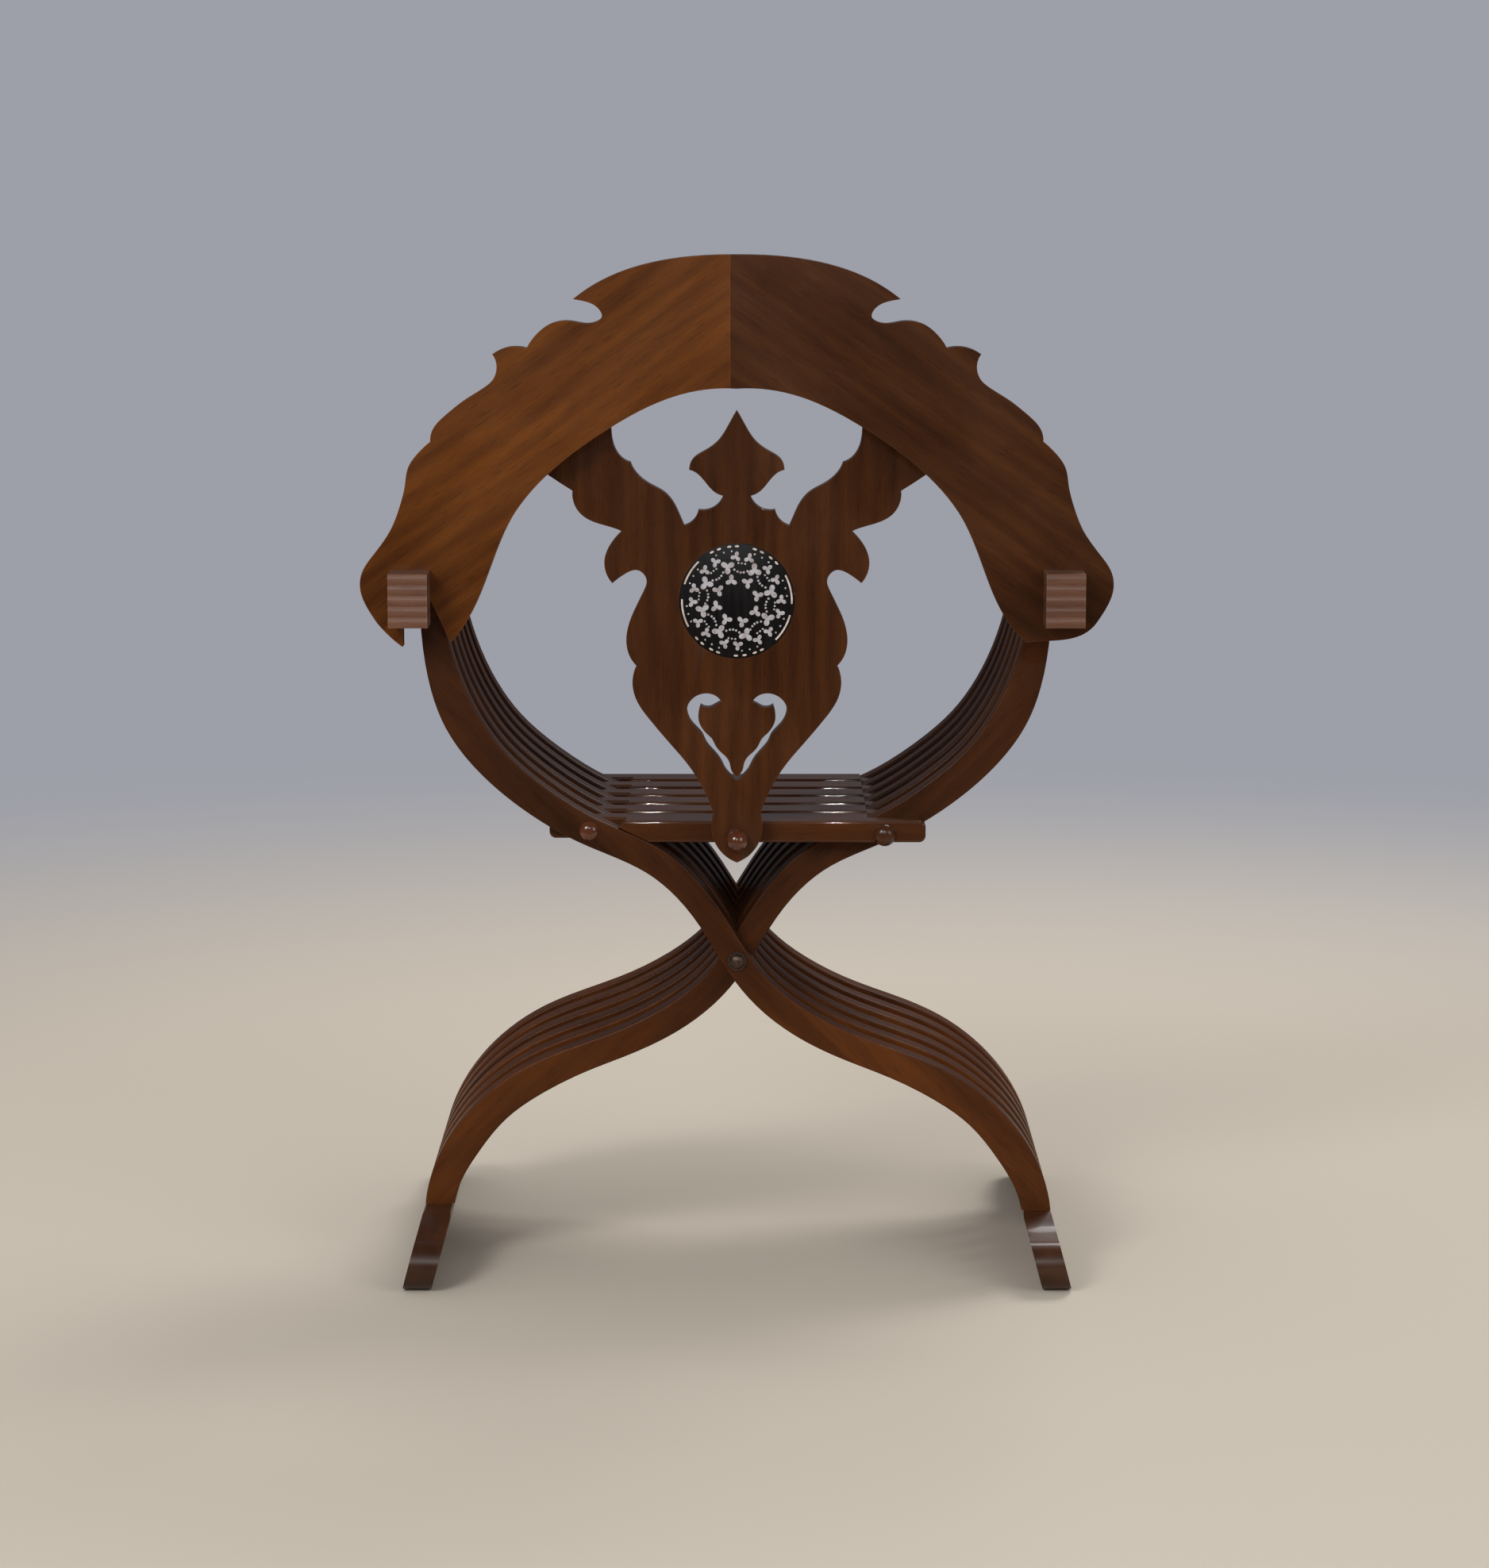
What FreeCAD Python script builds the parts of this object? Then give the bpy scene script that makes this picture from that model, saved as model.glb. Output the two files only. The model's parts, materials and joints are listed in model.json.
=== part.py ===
"""Folding chair with an X frame: two interleaved sets of curved slats on one pivot,
six hinged seat slats, two arms, two floor runners and a lift-off pierced back.

Frame: millimetres, +Z up, origin on the floor under the middle of the chair. The sitter
faces +Y, so the carved back and the reeded arm ends lie towards -Y.
"""
import FreeCAD, Part
import math
import os
import Sketcher
from types import SimpleNamespace

os.makedirs("parts", exist_ok=True)
doc = FreeCAD.newDocument("folding_slat_chair")
Vector = FreeCAD.Vector

# Driving sizes: alias, value in millimetres (angles in degrees), meaning
SIZES = [
    ("slat_thickness", 25.0, "depth of one curved slat along Y"),
    ("slat_gap", 0.4, "running gap between neighbouring slats"),
    ("slat_width", 30.0, "width of a slat in its bow, other widths are shares of it"),
    ("slat_half_span", 281.0, "pivot to the slat ends, sideways"),
    ("slat_rise", 324.0, "pivot to the underside of the arm"),
    ("slat_drop", 238.0, "pivot to the top of the floor runner"),
    ("edge_round", 1.6, "rounding of the long wooden edges"),
    ("tenon_thickness", 12.0, "slat tenon along Y"),
    ("tenon_width", 15.0, "slat tenon sideways"),
    ("tenon_length", 20.0, "slat tenon into arm or runner"),
    ("joint_clearance", 0.1, "glued joints, on each side"),
    ("rod_clearance", 0.05, "rods and dowels in their holes, radial"),
    ("pivot_rod_radius", 6.0, "main pivot rod"),
    ("pivot_washer_radius", 8.6, "washer under the pivot rod ends"),
    ("pivot_washer_thickness", 1.6, "washer under the pivot rod ends"),
    ("pivot_head_radius", 7.4, "domed ends of the main pivot rod"),
    ("pivot_head_height", 4.0, "domed ends of the main pivot rod"),
    ("seat_rod_radius", 6.0, "hinge rod and rest rod of the seat"),
    ("rest_below_hinge", 3.5, "seat rest rod lower than the hinge rod"),
    ("hinge_button_radius", 9.2, "domed ends of the hinge rod"),
    ("hinge_button_height", 5.0, "domed ends of the hinge rod"),
    ("rest_button_radius", 10.4, "domed ends of the rest rod"),
    ("rest_button_height", 7.0, "domed ends of the rest rod"),
    ("seat_thickness", 20.0, "seat slat, top to bottom"),
    ("seat_above_hinge", 9.5, "seat top above the hinge rod's axis"),
    ("seat_overhang", 38.0, "seat slat past its rods, at each end"),
    ("seat_slot", 14.0, "open slot between two seat slats"),
    ("seat_edge_round", 2.2, "rounding of the seat slats' top edges"),
    ("seat_end_round", 6.0, "rounded corners of the seat slat ends"),
    ("shoulder_clearance", 1.7, "seat shoulder off the curved slat beside it"),
    ("shoulder_trim_length", 18.5, "left shoulder's top corner cut away, along the seat"),
    ("shoulder_trim_height", 5.8, "left shoulder's top corner cut away, downwards"),
    ("notch_angle", 26.0, "flare of the notch over the rest rod, degrees"),
    ("neck_outset", 9.0, "arm dowel outside the middle of the slat ends"),
    ("neck_radius", 10.0, "arm dowel that carries the back"),
    ("neck_depth", 25.0, "arm dowel into the arm and into the scroll block"),
    ("arm_width", 52.0, "arm, sideways"),
    ("arm_thickness", 34.0, "arm at its rear end"),
    ("arm_waist", 4.0, "how far the arm's top dips in the middle"),
    ("scroll_radius", 29.0, "front scroll of the arm"),
    ("scroll_drop", 13.0, "front scroll's centre below the arm's top"),
    ("block_width", 35.5, "reeded rear block, sideways"),
    ("block_height", 49.0, "reeded rear block"),
    ("block_depth", 40.0, "reeded rear block along Y"),
    ("block_above_neck", 4.1, "middle of the reeded block above its dowel"),
    ("block_outset", 7.0, "middle of the reeded block outside its dowel"),
    ("reed_depth", 1.6, "height of a reed on the block"),
    ("runner_height", 60.0, "floor runner, floor to its top"),
    ("runner_overhang", 80.0, "floor runner past the slats, front and rear"),
    ("runner_width", 27.0, "floor runner, sideways"),
    ("runner_lean", 16.0, "foot of the runner outside its top"),
    ("runner_toe_height", 45.0, "half-round end of the runner, floor to its top"),
    ("runner_edge_round", 3.0, "rounding of the runner's long edges"),
    ("board_overhang", 53.0, "arched back board, widest point outside the arm dowel"),
    ("board_rise", 313.5, "arm dowel to the top of the back board"),
    ("board_thickness", 22.0, "arched back board along Y"),
    ("board_seam", 6.0, "glue seam of the board, left of the middle"),
    ("seam_dowel_radius", 4.0, "dowels across the board's seam"),
    ("seam_dowel_length", 50.0, "dowels across the board's seam"),
    ("hook_offset", 2.0, "slot's centre left of and below the dowel it hooks over"),
    ("hook_clearance", 0.15, "slot over the dowel at its tightest point"),
    ("hook_angle", 25.0, "slope of the slot's inner wall, degrees"),
    ("back_gap", 0.6, "splat off the slats, board off the scroll blocks"),
    ("splat_thickness", 16.0, "pierced splat along Y"),
    ("splat_below_arch", 21.1, "splat's finial under the arch of the board"),
    ("splat_below_seat", 36.0, "splat's foot under the seat top"),
    ("medallion_radius", 53.0, "inlaid disc"),
    ("knob_radius", 10.2, "turned knob on the splat's foot"),
    ("knob_above_foot", 21.5, "knob above the splat's foot"),
    ("knob_sink", 3.2, "how far the ball of the knob is cut flat"),
    ("knob_pin_radius", 4.0, "pin of the knob, through the splat"),
    ("screw_radius", 2.2, "screws that hold the splat on the board"),
    ("screw_head_radius", 4.5, "screw heads, let into the splat"),
    ("screw_head_height", 3.0, "screw heads, let into the splat"),
    ("screw_bite", 14.0, "screw into the board"),
]
PAIRS = 6
LEFT = -1
RIGHT = 1

# Slat centre line from the pivot up to the arm: side share, rise share, width share
SLAT_UP_SHARES = [
    (0.080, 0.113, 0.82), (0.265, 0.286, 0.88), (0.488, 0.378, 0.90), (0.657, 0.466, 0.97),
    (0.809, 0.580, 1.02), (0.910, 0.704, 1.08), (0.970, 0.846, 0.93), (1.000, 1.000, 0.72),
]
# Slat centre line from the pivot down to the runner: side share, drop share, width share
SLAT_DOWN_SHARES = [
    (0.093, 0.137, 0.86), (0.241, 0.268, 0.88), (0.385, 0.351, 0.86), (0.532, 0.418, 0.90),
    (0.680, 0.500, 1.00), (0.812, 0.611, 1.02), (0.918, 0.761, 1.05), (0.981, 0.905, 0.95),
    (1.000, 1.000, 0.92),
]
SLAT_PIVOT_WIDTH_SHARE = 0.84
# The seat rods cross the slats at this point of their centre line
SEAT_ROD_SHARES = SLAT_UP_SHARES[2]
# Half outline of the arched board from its middle outwards, as shares of half span and rise
BOARD_OUTER_SHARES = [
    [(0.000, 1.000), (0.222, 0.978), (0.364, 0.922), (0.431, 0.873)],
    [(0.431, 0.873), (0.394, 0.865), (0.364, 0.846), (0.355, 0.824), (0.379, 0.805), (0.437, 0.810),
     (0.490, 0.802), (0.528, 0.772), (0.554, 0.732)],
    [(0.554, 0.732), (0.601, 0.735), (0.644, 0.715)],
    [(0.644, 0.715), (0.633, 0.683), (0.640, 0.648), (0.669, 0.617), (0.717, 0.584), (0.767, 0.542),
     (0.802, 0.501), (0.810, 0.463)],
    [(0.810, 0.463), (0.848, 0.424), (0.870, 0.386), (0.878, 0.338), (0.891, 0.281), (0.918, 0.207),
     (0.965, 0.134), (0.996, 0.080), (1.000, 0.035), (0.985, -0.013), (0.956, -0.064)],
]
BOARD_PRONG_SHARES = [(0.956, -0.064), (0.924, -0.102)]
BOARD_PRONG_TIP_SHARE = -0.134
BOARD_ROUND_END_SHARES = [(0.956, -0.064), (0.910, -0.102), (0.845, -0.115), (0.770, -0.121)]
BOARD_INNER_SHARES = [(0.770, -0.121), (0.694, -0.010), (0.656, 0.093), (0.598, 0.239), (0.496, 0.373),
                      (0.338, 0.501), (0.175, 0.590), (0.000, 0.616)]
SEAM_DOWEL_SHARES = (0.71, 0.90)
# Half outline of the splat from its finial down to its foot, as shares of half span and height
SPLAT_SHARES = [
    [(0.000, 1.000), (0.074, 0.962), (0.140, 0.934), (0.223, 0.915), (0.314, 0.899), (0.360, 0.871)],
    [(0.360, 0.871), (0.273, 0.856), (0.219, 0.837), (0.103, 0.814)],
    [(0.103, 0.814), (0.140, 0.796), (0.198, 0.785), (0.289, 0.783)],
    [(0.289, 0.783), (0.314, 0.765), (0.397, 0.748)],
    [(0.397, 0.748), (0.430, 0.770), (0.479, 0.799), (0.554, 0.823), (0.653, 0.839), (0.744, 0.859),
     (0.802, 0.887)],
    [(0.802, 0.887), (0.893, 0.905), (0.942, 0.943), (0.975, 1.000), (1.157, 1.026), (1.380, 0.974),
     (1.488, 0.906), (1.421, 0.859)],
    [(1.421, 0.859), (1.322, 0.840), (1.240, 0.825)],
    [(1.240, 0.825), (1.231, 0.799), (1.182, 0.775), (1.083, 0.757), (0.983, 0.748), (0.868, 0.736)],
    [(0.868, 0.736), (0.955, 0.707), (1.000, 0.676), (0.992, 0.647), (0.942, 0.622)],
    [(0.942, 0.622), (0.843, 0.643), (0.744, 0.650), (0.686, 0.632), (0.711, 0.600), (0.777, 0.561),
     (0.835, 0.511), (0.826, 0.470), (0.760, 0.439)],
    [(0.760, 0.439), (0.793, 0.403), (0.769, 0.367), (0.661, 0.319), (0.529, 0.273), (0.388, 0.225),
     (0.298, 0.187), (0.227, 0.147), (0.178, 0.110)],
]
# Half outline of the heart-shaped piercing: its outer wall from the curl's tip down to the point, then
# the heart's top edge from the same tip to its corner, and the heart's side down to its point
PIERCING_SHARES = [
    [(0.116, 0.359), (0.237, 0.378), (0.325, 0.369), (0.377, 0.347), (0.365, 0.324), (0.333, 0.309),
     (0.293, 0.297), (0.260, 0.285), (0.235, 0.269), (0.195, 0.254), (0.146, 0.238), (0.111, 0.222),
     (0.085, 0.207), (0.055, 0.197), (0.000, 0.182)],
    [(0.116, 0.359), (0.158, 0.353), (0.200, 0.347), (0.243, 0.347), (0.275, 0.352)],
    [(0.275, 0.352), (0.290, 0.337), (0.292, 0.320), (0.268, 0.302), (0.229, 0.288), (0.190, 0.277),
     (0.167, 0.264), (0.129, 0.249), (0.078, 0.235), (0.054, 0.221), (0.043, 0.207), (0.022, 0.198),
     (0.000, 0.192)],
]
SCREW_SHARES = [(1.100, 0.960), (1.320, 0.930)]
# The splat's hooked lobes reach this share of the board's half span
SPLAT_SPAN_SHARE = 0.3528
MEDALLION_HEIGHT_SHARE = 0.5827
# The runner's ogee keeps flat for this share of each half of its slope
OGEE_SHARE = 0.25
REEDS = 5


def read_sizes():
    """Fills the spreadsheet and returns its cells as named values."""
    sheet = doc.addObject("Spreadsheet::Sheet", "Sizes")
    for row, (alias, value, meaning) in enumerate(SIZES, start=1):
        sheet.set(f"A{row}", alias)
        sheet.set(f"B{row}", str(value))
        sheet.setAlias(f"B{row}", alias)
        sheet.set(f"C{row}", meaning)
    doc.recompute()
    return SimpleNamespace(**{alias: float(sheet.get(alias)) for alias, _, _ in SIZES})


size = read_sizes()
pitch = size.slat_thickness + size.slat_gap
stack_rear = -PAIRS * pitch + size.slat_gap / 2
pivot_height = size.runner_height + size.slat_drop
arm_underside = pivot_height + size.slat_rise
neck_height = arm_underside + size.arm_thickness / 2
neck_half_span = size.slat_half_span + size.neck_outset
hinge_share_x, hinge_share_z, hinge_share_width = SEAT_ROD_SHARES
hinge_x = hinge_share_x * size.slat_half_span
hinge_rise = hinge_share_z * size.slat_rise
seat_top = pivot_height + hinge_rise + size.seat_above_hinge
board_half_span = neck_half_span + size.board_overhang
splat_half_span = SPLAT_SPAN_SHARE * board_half_span
splat_foot = seat_top - size.splat_below_seat
splat_top = neck_height + BOARD_INNER_SHARES[-1][1] * size.board_rise - size.splat_below_arch
splat_height = splat_top - splat_foot
medallion_above_foot = MEDALLION_HEIGHT_SHARE * splat_height
# The same places as expressions of the sheet's cells
PITCH = "(Sizes.slat_thickness + Sizes.slat_gap)"
STACK_REAR = f"(-{PAIRS} * {PITCH} + Sizes.slat_gap / 2)"
SPLAT_FRONT = f"({STACK_REAR} - Sizes.back_gap)"
BOARD_FRONT = f"({SPLAT_FRONT} - Sizes.splat_thickness)"
BLOCK_FRONT = f"({BOARD_FRONT} - Sizes.board_thickness - Sizes.back_gap)"
PIVOT_HEIGHT = "(Sizes.runner_height + Sizes.slat_drop)"
ARM_UNDERSIDE = f"({PIVOT_HEIGHT} + Sizes.slat_rise)"
NECK_HEIGHT = f"({ARM_UNDERSIDE} + Sizes.arm_thickness / 2)"
NECK_HALF_SPAN = "(Sizes.slat_half_span + Sizes.neck_outset)"
HINGE_X = f"({hinge_share_x} * Sizes.slat_half_span)"
HINGE_RISE = f"({hinge_share_z} * Sizes.slat_rise)"
REST_RISE = f"({HINGE_RISE} - Sizes.rest_below_hinge)"
SPLAT_HALF_SPAN = f"({SPLAT_SPAN_SHARE} * ({NECK_HALF_SPAN} + Sizes.board_overhang))"
SPLAT_FOOT = f"({PIVOT_HEIGHT} + {HINGE_RISE} + Sizes.seat_above_hinge - Sizes.splat_below_seat)"
SPLAT_TOP = f"({NECK_HEIGHT} + {BOARD_INNER_SHARES[-1][1]} * Sizes.board_rise - Sizes.splat_below_arch)"
SPLAT_HEIGHT = f"({SPLAT_TOP} - {SPLAT_FOOT})"
MEDALLION_ABOVE_FOOT = f"({MEDALLION_HEIGHT_SHARE} * {SPLAT_HEIGHT})"
pieces = []


def spline(points):
    """A smooth curve through points, or a straight line through two."""
    if len(points) == 2:
        return Part.LineSegment(points[0], points[1])
    curve = Part.BSplineCurve()
    curve.interpolate(Points=points)
    return curve


def lines(points):
    """A closed run of straight lines."""
    return [Part.LineSegment(a, b) for a, b in zip(points, points[1:] + points[:1])]


def new_body(name):
    """An empty body whose label is the piece's name."""
    body = doc.addObject("PartDesign::Body", name)
    body.Label = name
    pieces.append(body)
    return body


def new_sketch(body, plane_role, geometry, depth=None):
    """A sketch on one of the body's own planes; depth is an expression along its normal."""
    sketch = body.newObject("Sketcher::SketchObject", body.Name + "_outline")
    planes = [plane for plane in body.Origin.OriginFeatures if plane.Role == plane_role]
    sketch.AttachmentSupport = [(planes[0], "")]
    sketch.MapMode = "FlatFace"
    if depth:
        sketch.setExpression("AttachmentOffset.Base.z", depth)
    sketch.addGeometry(geometry, False)
    return sketch


def tie_circle(sketch, index, radius, across, up):
    """Ties circle number index to expressions for its radius and its centre."""
    circle = sketch.Geometry[index]
    sketch.addConstraint(Sketcher.Constraint("Radius", index, circle.Radius))
    sketch.setExpression(f"Constraints[{sketch.ConstraintCount - 1}]", radius)
    for kind, value, expression in (("DistanceX", circle.Center.x, across),
                                    ("DistanceY", circle.Center.y, up)):
        if expression is None:
            continue
        if value < 0:
            constraint = Sketcher.Constraint(kind, index, 3, -1, 1, -value)
        else:
            constraint = Sketcher.Constraint(kind, -1, 1, index, 3, value)
        sketch.addConstraint(constraint)
        sketch.setExpression(f"Constraints[{sketch.ConstraintCount - 1}]", expression)


def pad(body, sketch, length, towards_rear=False):
    """Thickens a sketch by an expression, towards +Y unless told otherwise."""
    feature = body.newObject("PartDesign::Pad", body.Name + "_pad")
    feature.Profile = sketch
    feature.Reversed = not towards_rear
    feature.setExpression("Length", length)
    sketch.Visibility = False
    return feature


def pocket(body, sketch, length, reverse=False):
    """Cuts a sketch into the body by an expression and makes sure that wood was removed."""
    doc.recompute()
    before = body.Shape.Volume
    feature = body.newObject("PartDesign::Pocket", body.Name + "_pocket")
    feature.Profile = sketch
    feature.Reversed = reverse
    feature.setExpression("Length", length)
    doc.recompute()
    if not body.Shape.Volume < before:
        raise RuntimeError(f"{feature.Name} cuts nothing")
    return feature


def round_edges(body, feature, wanted, radius="Sizes.edge_round"):
    """Rounds the edges of a feature that pass the test wanted(edge)."""
    doc.recompute()
    names = [f"Edge{n}" for n, edge in enumerate(feature.Shape.Edges, start=1) if wanted(edge)]
    fillet = body.newObject("PartDesign::Fillet", body.Name + "_round")
    fillet.Base = (feature, names)
    fillet.setExpression("Radius", radius)
    doc.recompute()
    return fillet


def lies_across(edge):
    """True for an edge that keeps one depth, so it outlines a front or rear face."""
    box = edge.BoundBox
    return box.YLength < size.slat_gap


def put(piece, x="0", y="0", z="0"):
    """Places a piece by three expressions."""
    for axis, expression in zip("xyz", (x, y, z)):
        if expression != "0":
            piece.setExpression(f".Placement.Base.{axis}", expression)


def slat_centre_line():
    """Points and widths of one slat from its arm end to its foot, for a slat that leans right."""
    up = [(share_x * size.slat_half_span, share_z * size.slat_rise, width * size.slat_width)
          for share_x, share_z, width in reversed(SLAT_UP_SHARES)]
    down = [(-share_x * size.slat_half_span, -share_z * size.slat_drop, width * size.slat_width)
            for share_x, share_z, width in SLAT_DOWN_SHARES]
    return up + [(0.0, 0.0, SLAT_PIVOT_WIDTH_SHARE * size.slat_width)] + down


def slat_curve():
    """The centre line of a slat that leans right, as one smooth curve round the main pivot."""
    return spline([Vector(x, z, 0) for x, z, _ in slat_centre_line()])


def slat_edges(side):
    """The two long edges of a slat whose arm is on that side, measured from the main pivot."""
    line = slat_centre_line()
    curve = slat_curve()
    outer, inner = [], []
    for x, z, width in line:
        along = curve.tangent(curve.parameter(Vector(x, z, 0)))[0]
        if (x, z) == line[0][:2] or (x, z) == line[-1][:2]:
            along = Vector(0, -1, 0)
        normal = Vector(-along.y, along.x, 0)
        for edge, sign in ((outer, 1), (inner, -1)):
            point = Vector(x, z, 0) + normal * (sign * width / 2)
            edge.append(Vector(side * point.x, point.y, 0))
    return outer, inner


def curved_slat(name, side, index):
    """One S-curved slat with its holes and the tenons at both ends."""
    body = new_body(name)
    outer, inner = slat_edges(side)
    ends = [Part.LineSegment(outer[-1], inner[-1]), Part.LineSegment(inner[0], outer[0])]
    outline = new_sketch(body, "XZ_Plane", [spline(outer), spline(inner)] + ends)
    plank = pad(body, outline, "Sizes.slat_thickness")
    round_edges(body, plank, lambda edge: lies_across(edge) and edge.Length > size.slat_half_span)
    half = size.tenon_width / 2
    arm_tenon = size.tenon_length
    if side == LEFT and index == 0:
        arm_tenon = size.arm_thickness / 2 - size.neck_radius - size.joint_clearance
    for end, reach in ((outer[0] + inner[0], arm_tenon), (outer[-1] + inner[-1], -size.tenon_length)):
        middle, root = end.x / 2, end.y / 2
        corners = [Vector(middle - half, root - reach / 2, 0), Vector(middle + half, root - reach / 2, 0),
                   Vector(middle + half, root + reach, 0), Vector(middle - half, root + reach, 0)]
        tenon = new_sketch(body, "XZ_Plane", lines(corners),
                           "-(Sizes.slat_thickness - Sizes.tenon_thickness) / 2")
        pad(body, tenon, "Sizes.tenon_thickness")
    rod_rise, rod_expression = hinge_rise, HINGE_RISE
    if side == RIGHT:
        rod_rise, rod_expression = hinge_rise - size.rest_below_hinge, REST_RISE
    holes = new_sketch(body, "XZ_Plane", [
        Part.Circle(Vector(0, 0, 0), Vector(0, 0, 1), size.pivot_rod_radius + size.rod_clearance),
        Part.Circle(Vector(side * hinge_x, rod_rise, 0), Vector(0, 0, 1),
                    size.seat_rod_radius + size.rod_clearance)])
    tie_circle(holes, 0, "Sizes.pivot_rod_radius + Sizes.rod_clearance", None, None)
    tie_circle(holes, 1, "Sizes.seat_rod_radius + Sizes.rod_clearance", HINGE_X, rod_expression)
    pocket(body, holes, "Sizes.slat_thickness")
    layer = 2 * index + (0 if side == LEFT else 1)
    put(body, y=f"{STACK_REAR} + {layer} * {PITCH}", z=PIVOT_HEIGHT)


def seat_slat(name, index):
    """A seat slat: full width in the middle, a hinged tongue on the left and a notched one on the right."""
    body = new_body(name)
    top = size.seat_above_hinge
    bottom = top - size.seat_thickness
    curve = slat_curve()
    along = curve.tangent(curve.parameter(Vector(hinge_x, hinge_rise, 0)))[0]
    slope = math.atan2(-along.y, -along.x)
    off = hinge_share_width * size.slat_width / 2 + size.shoulder_clearance

    def shoulder(height):
        """Half length of the wide part at a height, along the upper edge of the curved slat."""
        return hinge_x - (off / math.cos(slope) - height) / math.tan(slope)

    trimmed = top - size.shoulder_trim_height
    middle = [Vector(-shoulder(bottom), bottom, 0), Vector(shoulder(bottom), bottom, 0),
              Vector(shoulder(top), top, 0), Vector(size.shoulder_trim_length - shoulder(top), top, 0),
              Vector(-shoulder(trimmed), trimmed, 0)]
    slot = "Sizes.seat_slot" if index > 0 else "0"
    pad(body, new_sketch(body, "XZ_Plane", lines(middle), f"-{slot}"),
        f"2 * {PITCH} - Sizes.slat_gap - {slot}")
    end, corner = hinge_x + size.seat_overhang, size.seat_end_round
    root = shoulder(bottom) / 2
    tongues = [(LEFT, root, f"-{PITCH}", "Sizes.slat_thickness"),
               (RIGHT, root, f"-{slot}", f"Sizes.slat_thickness - {slot}")]
    if index > 0:
        tongues.append((RIGHT, shoulder(top), None, "Sizes.slat_thickness"))
    for side, inner, depth, length in tongues:
        tongue = lines([Vector(side * inner, bottom, 0), Vector(side * end, bottom, 0),
                        Vector(side * end, top, 0), Vector(side * inner, top, 0)])
        last = pad(body, new_sketch(body, "XZ_Plane", tongue, depth), length)
    last = round_edges(body, last, lambda edge: edge.BoundBox.XLength < size.slat_gap
                       and edge.BoundBox.ZLength < size.slat_gap
                       and abs(abs(edge.BoundBox.Center.x) - end) < size.slat_gap, "Sizes.seat_end_round")
    round_edges(body, last, lambda edge: lies_across(edge) and edge.BoundBox.ZLength < size.slat_gap
                and edge.BoundBox.Center.z > top - size.slat_gap and edge.Length > corner,
                "Sizes.seat_edge_round")
    eye = new_sketch(body, "XZ_Plane", [Part.Circle(Vector(-hinge_x, 0, 0), Vector(0, 0, 1),
                                                    size.seat_rod_radius + size.rod_clearance)])
    tie_circle(eye, 0, "Sizes.seat_rod_radius + Sizes.rod_clearance", HINGE_X, None)
    pocket(body, eye, f"2 * {PITCH}")
    radius = size.seat_rod_radius + size.joint_clearance
    flare = math.radians(size.notch_angle)
    centre = Vector(hinge_x, -size.rest_below_hinge, 0)
    left_touch = centre + Vector(-math.cos(flare), math.sin(flare), 0) * radius
    right_touch = centre + Vector(radius, 0, 0)
    below = bottom - corner
    left_foot = Vector(left_touch.x - (left_touch.y - below) * math.tan(flare), below, 0)
    right_foot = Vector(right_touch.x, below, 0)
    arch = Part.Arc(left_touch, centre + Vector(0, radius, 0), right_touch)
    notch = new_sketch(body, "XZ_Plane", [arch, Part.LineSegment(right_touch, right_foot),
                                          Part.LineSegment(right_foot, left_foot),
                                          Part.LineSegment(left_foot, left_touch)])
    pocket(body, notch, f"2 * {PITCH}")
    put(body, y=f"{STACK_REAR} + {2 * index} * {PITCH}", z=f"{PIVOT_HEIGHT} + {HINGE_RISE}")


def turned(name, profile, x, y, z):
    """A piece turned about an axis along Y, from a closed half section of (depth, radius) edges."""
    body = new_body(name)
    sketch = new_sketch(body, "YZ_Plane", profile)
    turning = body.newObject("PartDesign::Revolution", name + "_turning")
    turning.Profile = sketch
    turning.ReferenceAxis = (sketch, ["H_Axis"])
    turning.Angle = 360
    put(body, x=x, y=y, z=z)
    return body


def rod_profile(radius, length, cap_radius, cap_height, cap_gap):
    """Half section of a rod with a domed cap turned on its rear end."""
    rear = Vector(-cap_gap - cap_height, 0, 0)
    rim = Vector(-cap_gap, cap_radius, 0)
    waist = Vector(-cap_gap - cap_height * math.sin(math.pi / 4), cap_radius * math.cos(math.pi / 4), 0)
    neck = Vector(-cap_gap, radius, 0)
    tip = Vector(length, radius, 0)
    end = Vector(length, 0, 0)
    return [Part.Arc(rear, waist, rim), Part.LineSegment(rim, neck), Part.LineSegment(neck, tip),
            Part.LineSegment(tip, end), Part.LineSegment(end, rear)]


def cap_profile(cap_radius, cap_height, bore, depth):
    """Half section of a domed cap with a blind bore, its flat side at zero and its dome towards +Y."""
    tip = Vector(cap_height, 0, 0)
    waist = Vector(cap_height * math.sin(math.pi / 4), cap_radius * math.cos(math.pi / 4), 0)
    rim = Vector(0, cap_radius, 0)
    return [Part.Arc(tip, waist, rim), Part.LineSegment(rim, Vector(0, bore, 0)),
            Part.LineSegment(Vector(0, bore, 0), Vector(depth, bore, 0)),
            Part.LineSegment(Vector(depth, bore, 0), Vector(depth, 0, 0)),
            Part.LineSegment(Vector(depth, 0, 0), tip)]


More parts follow.
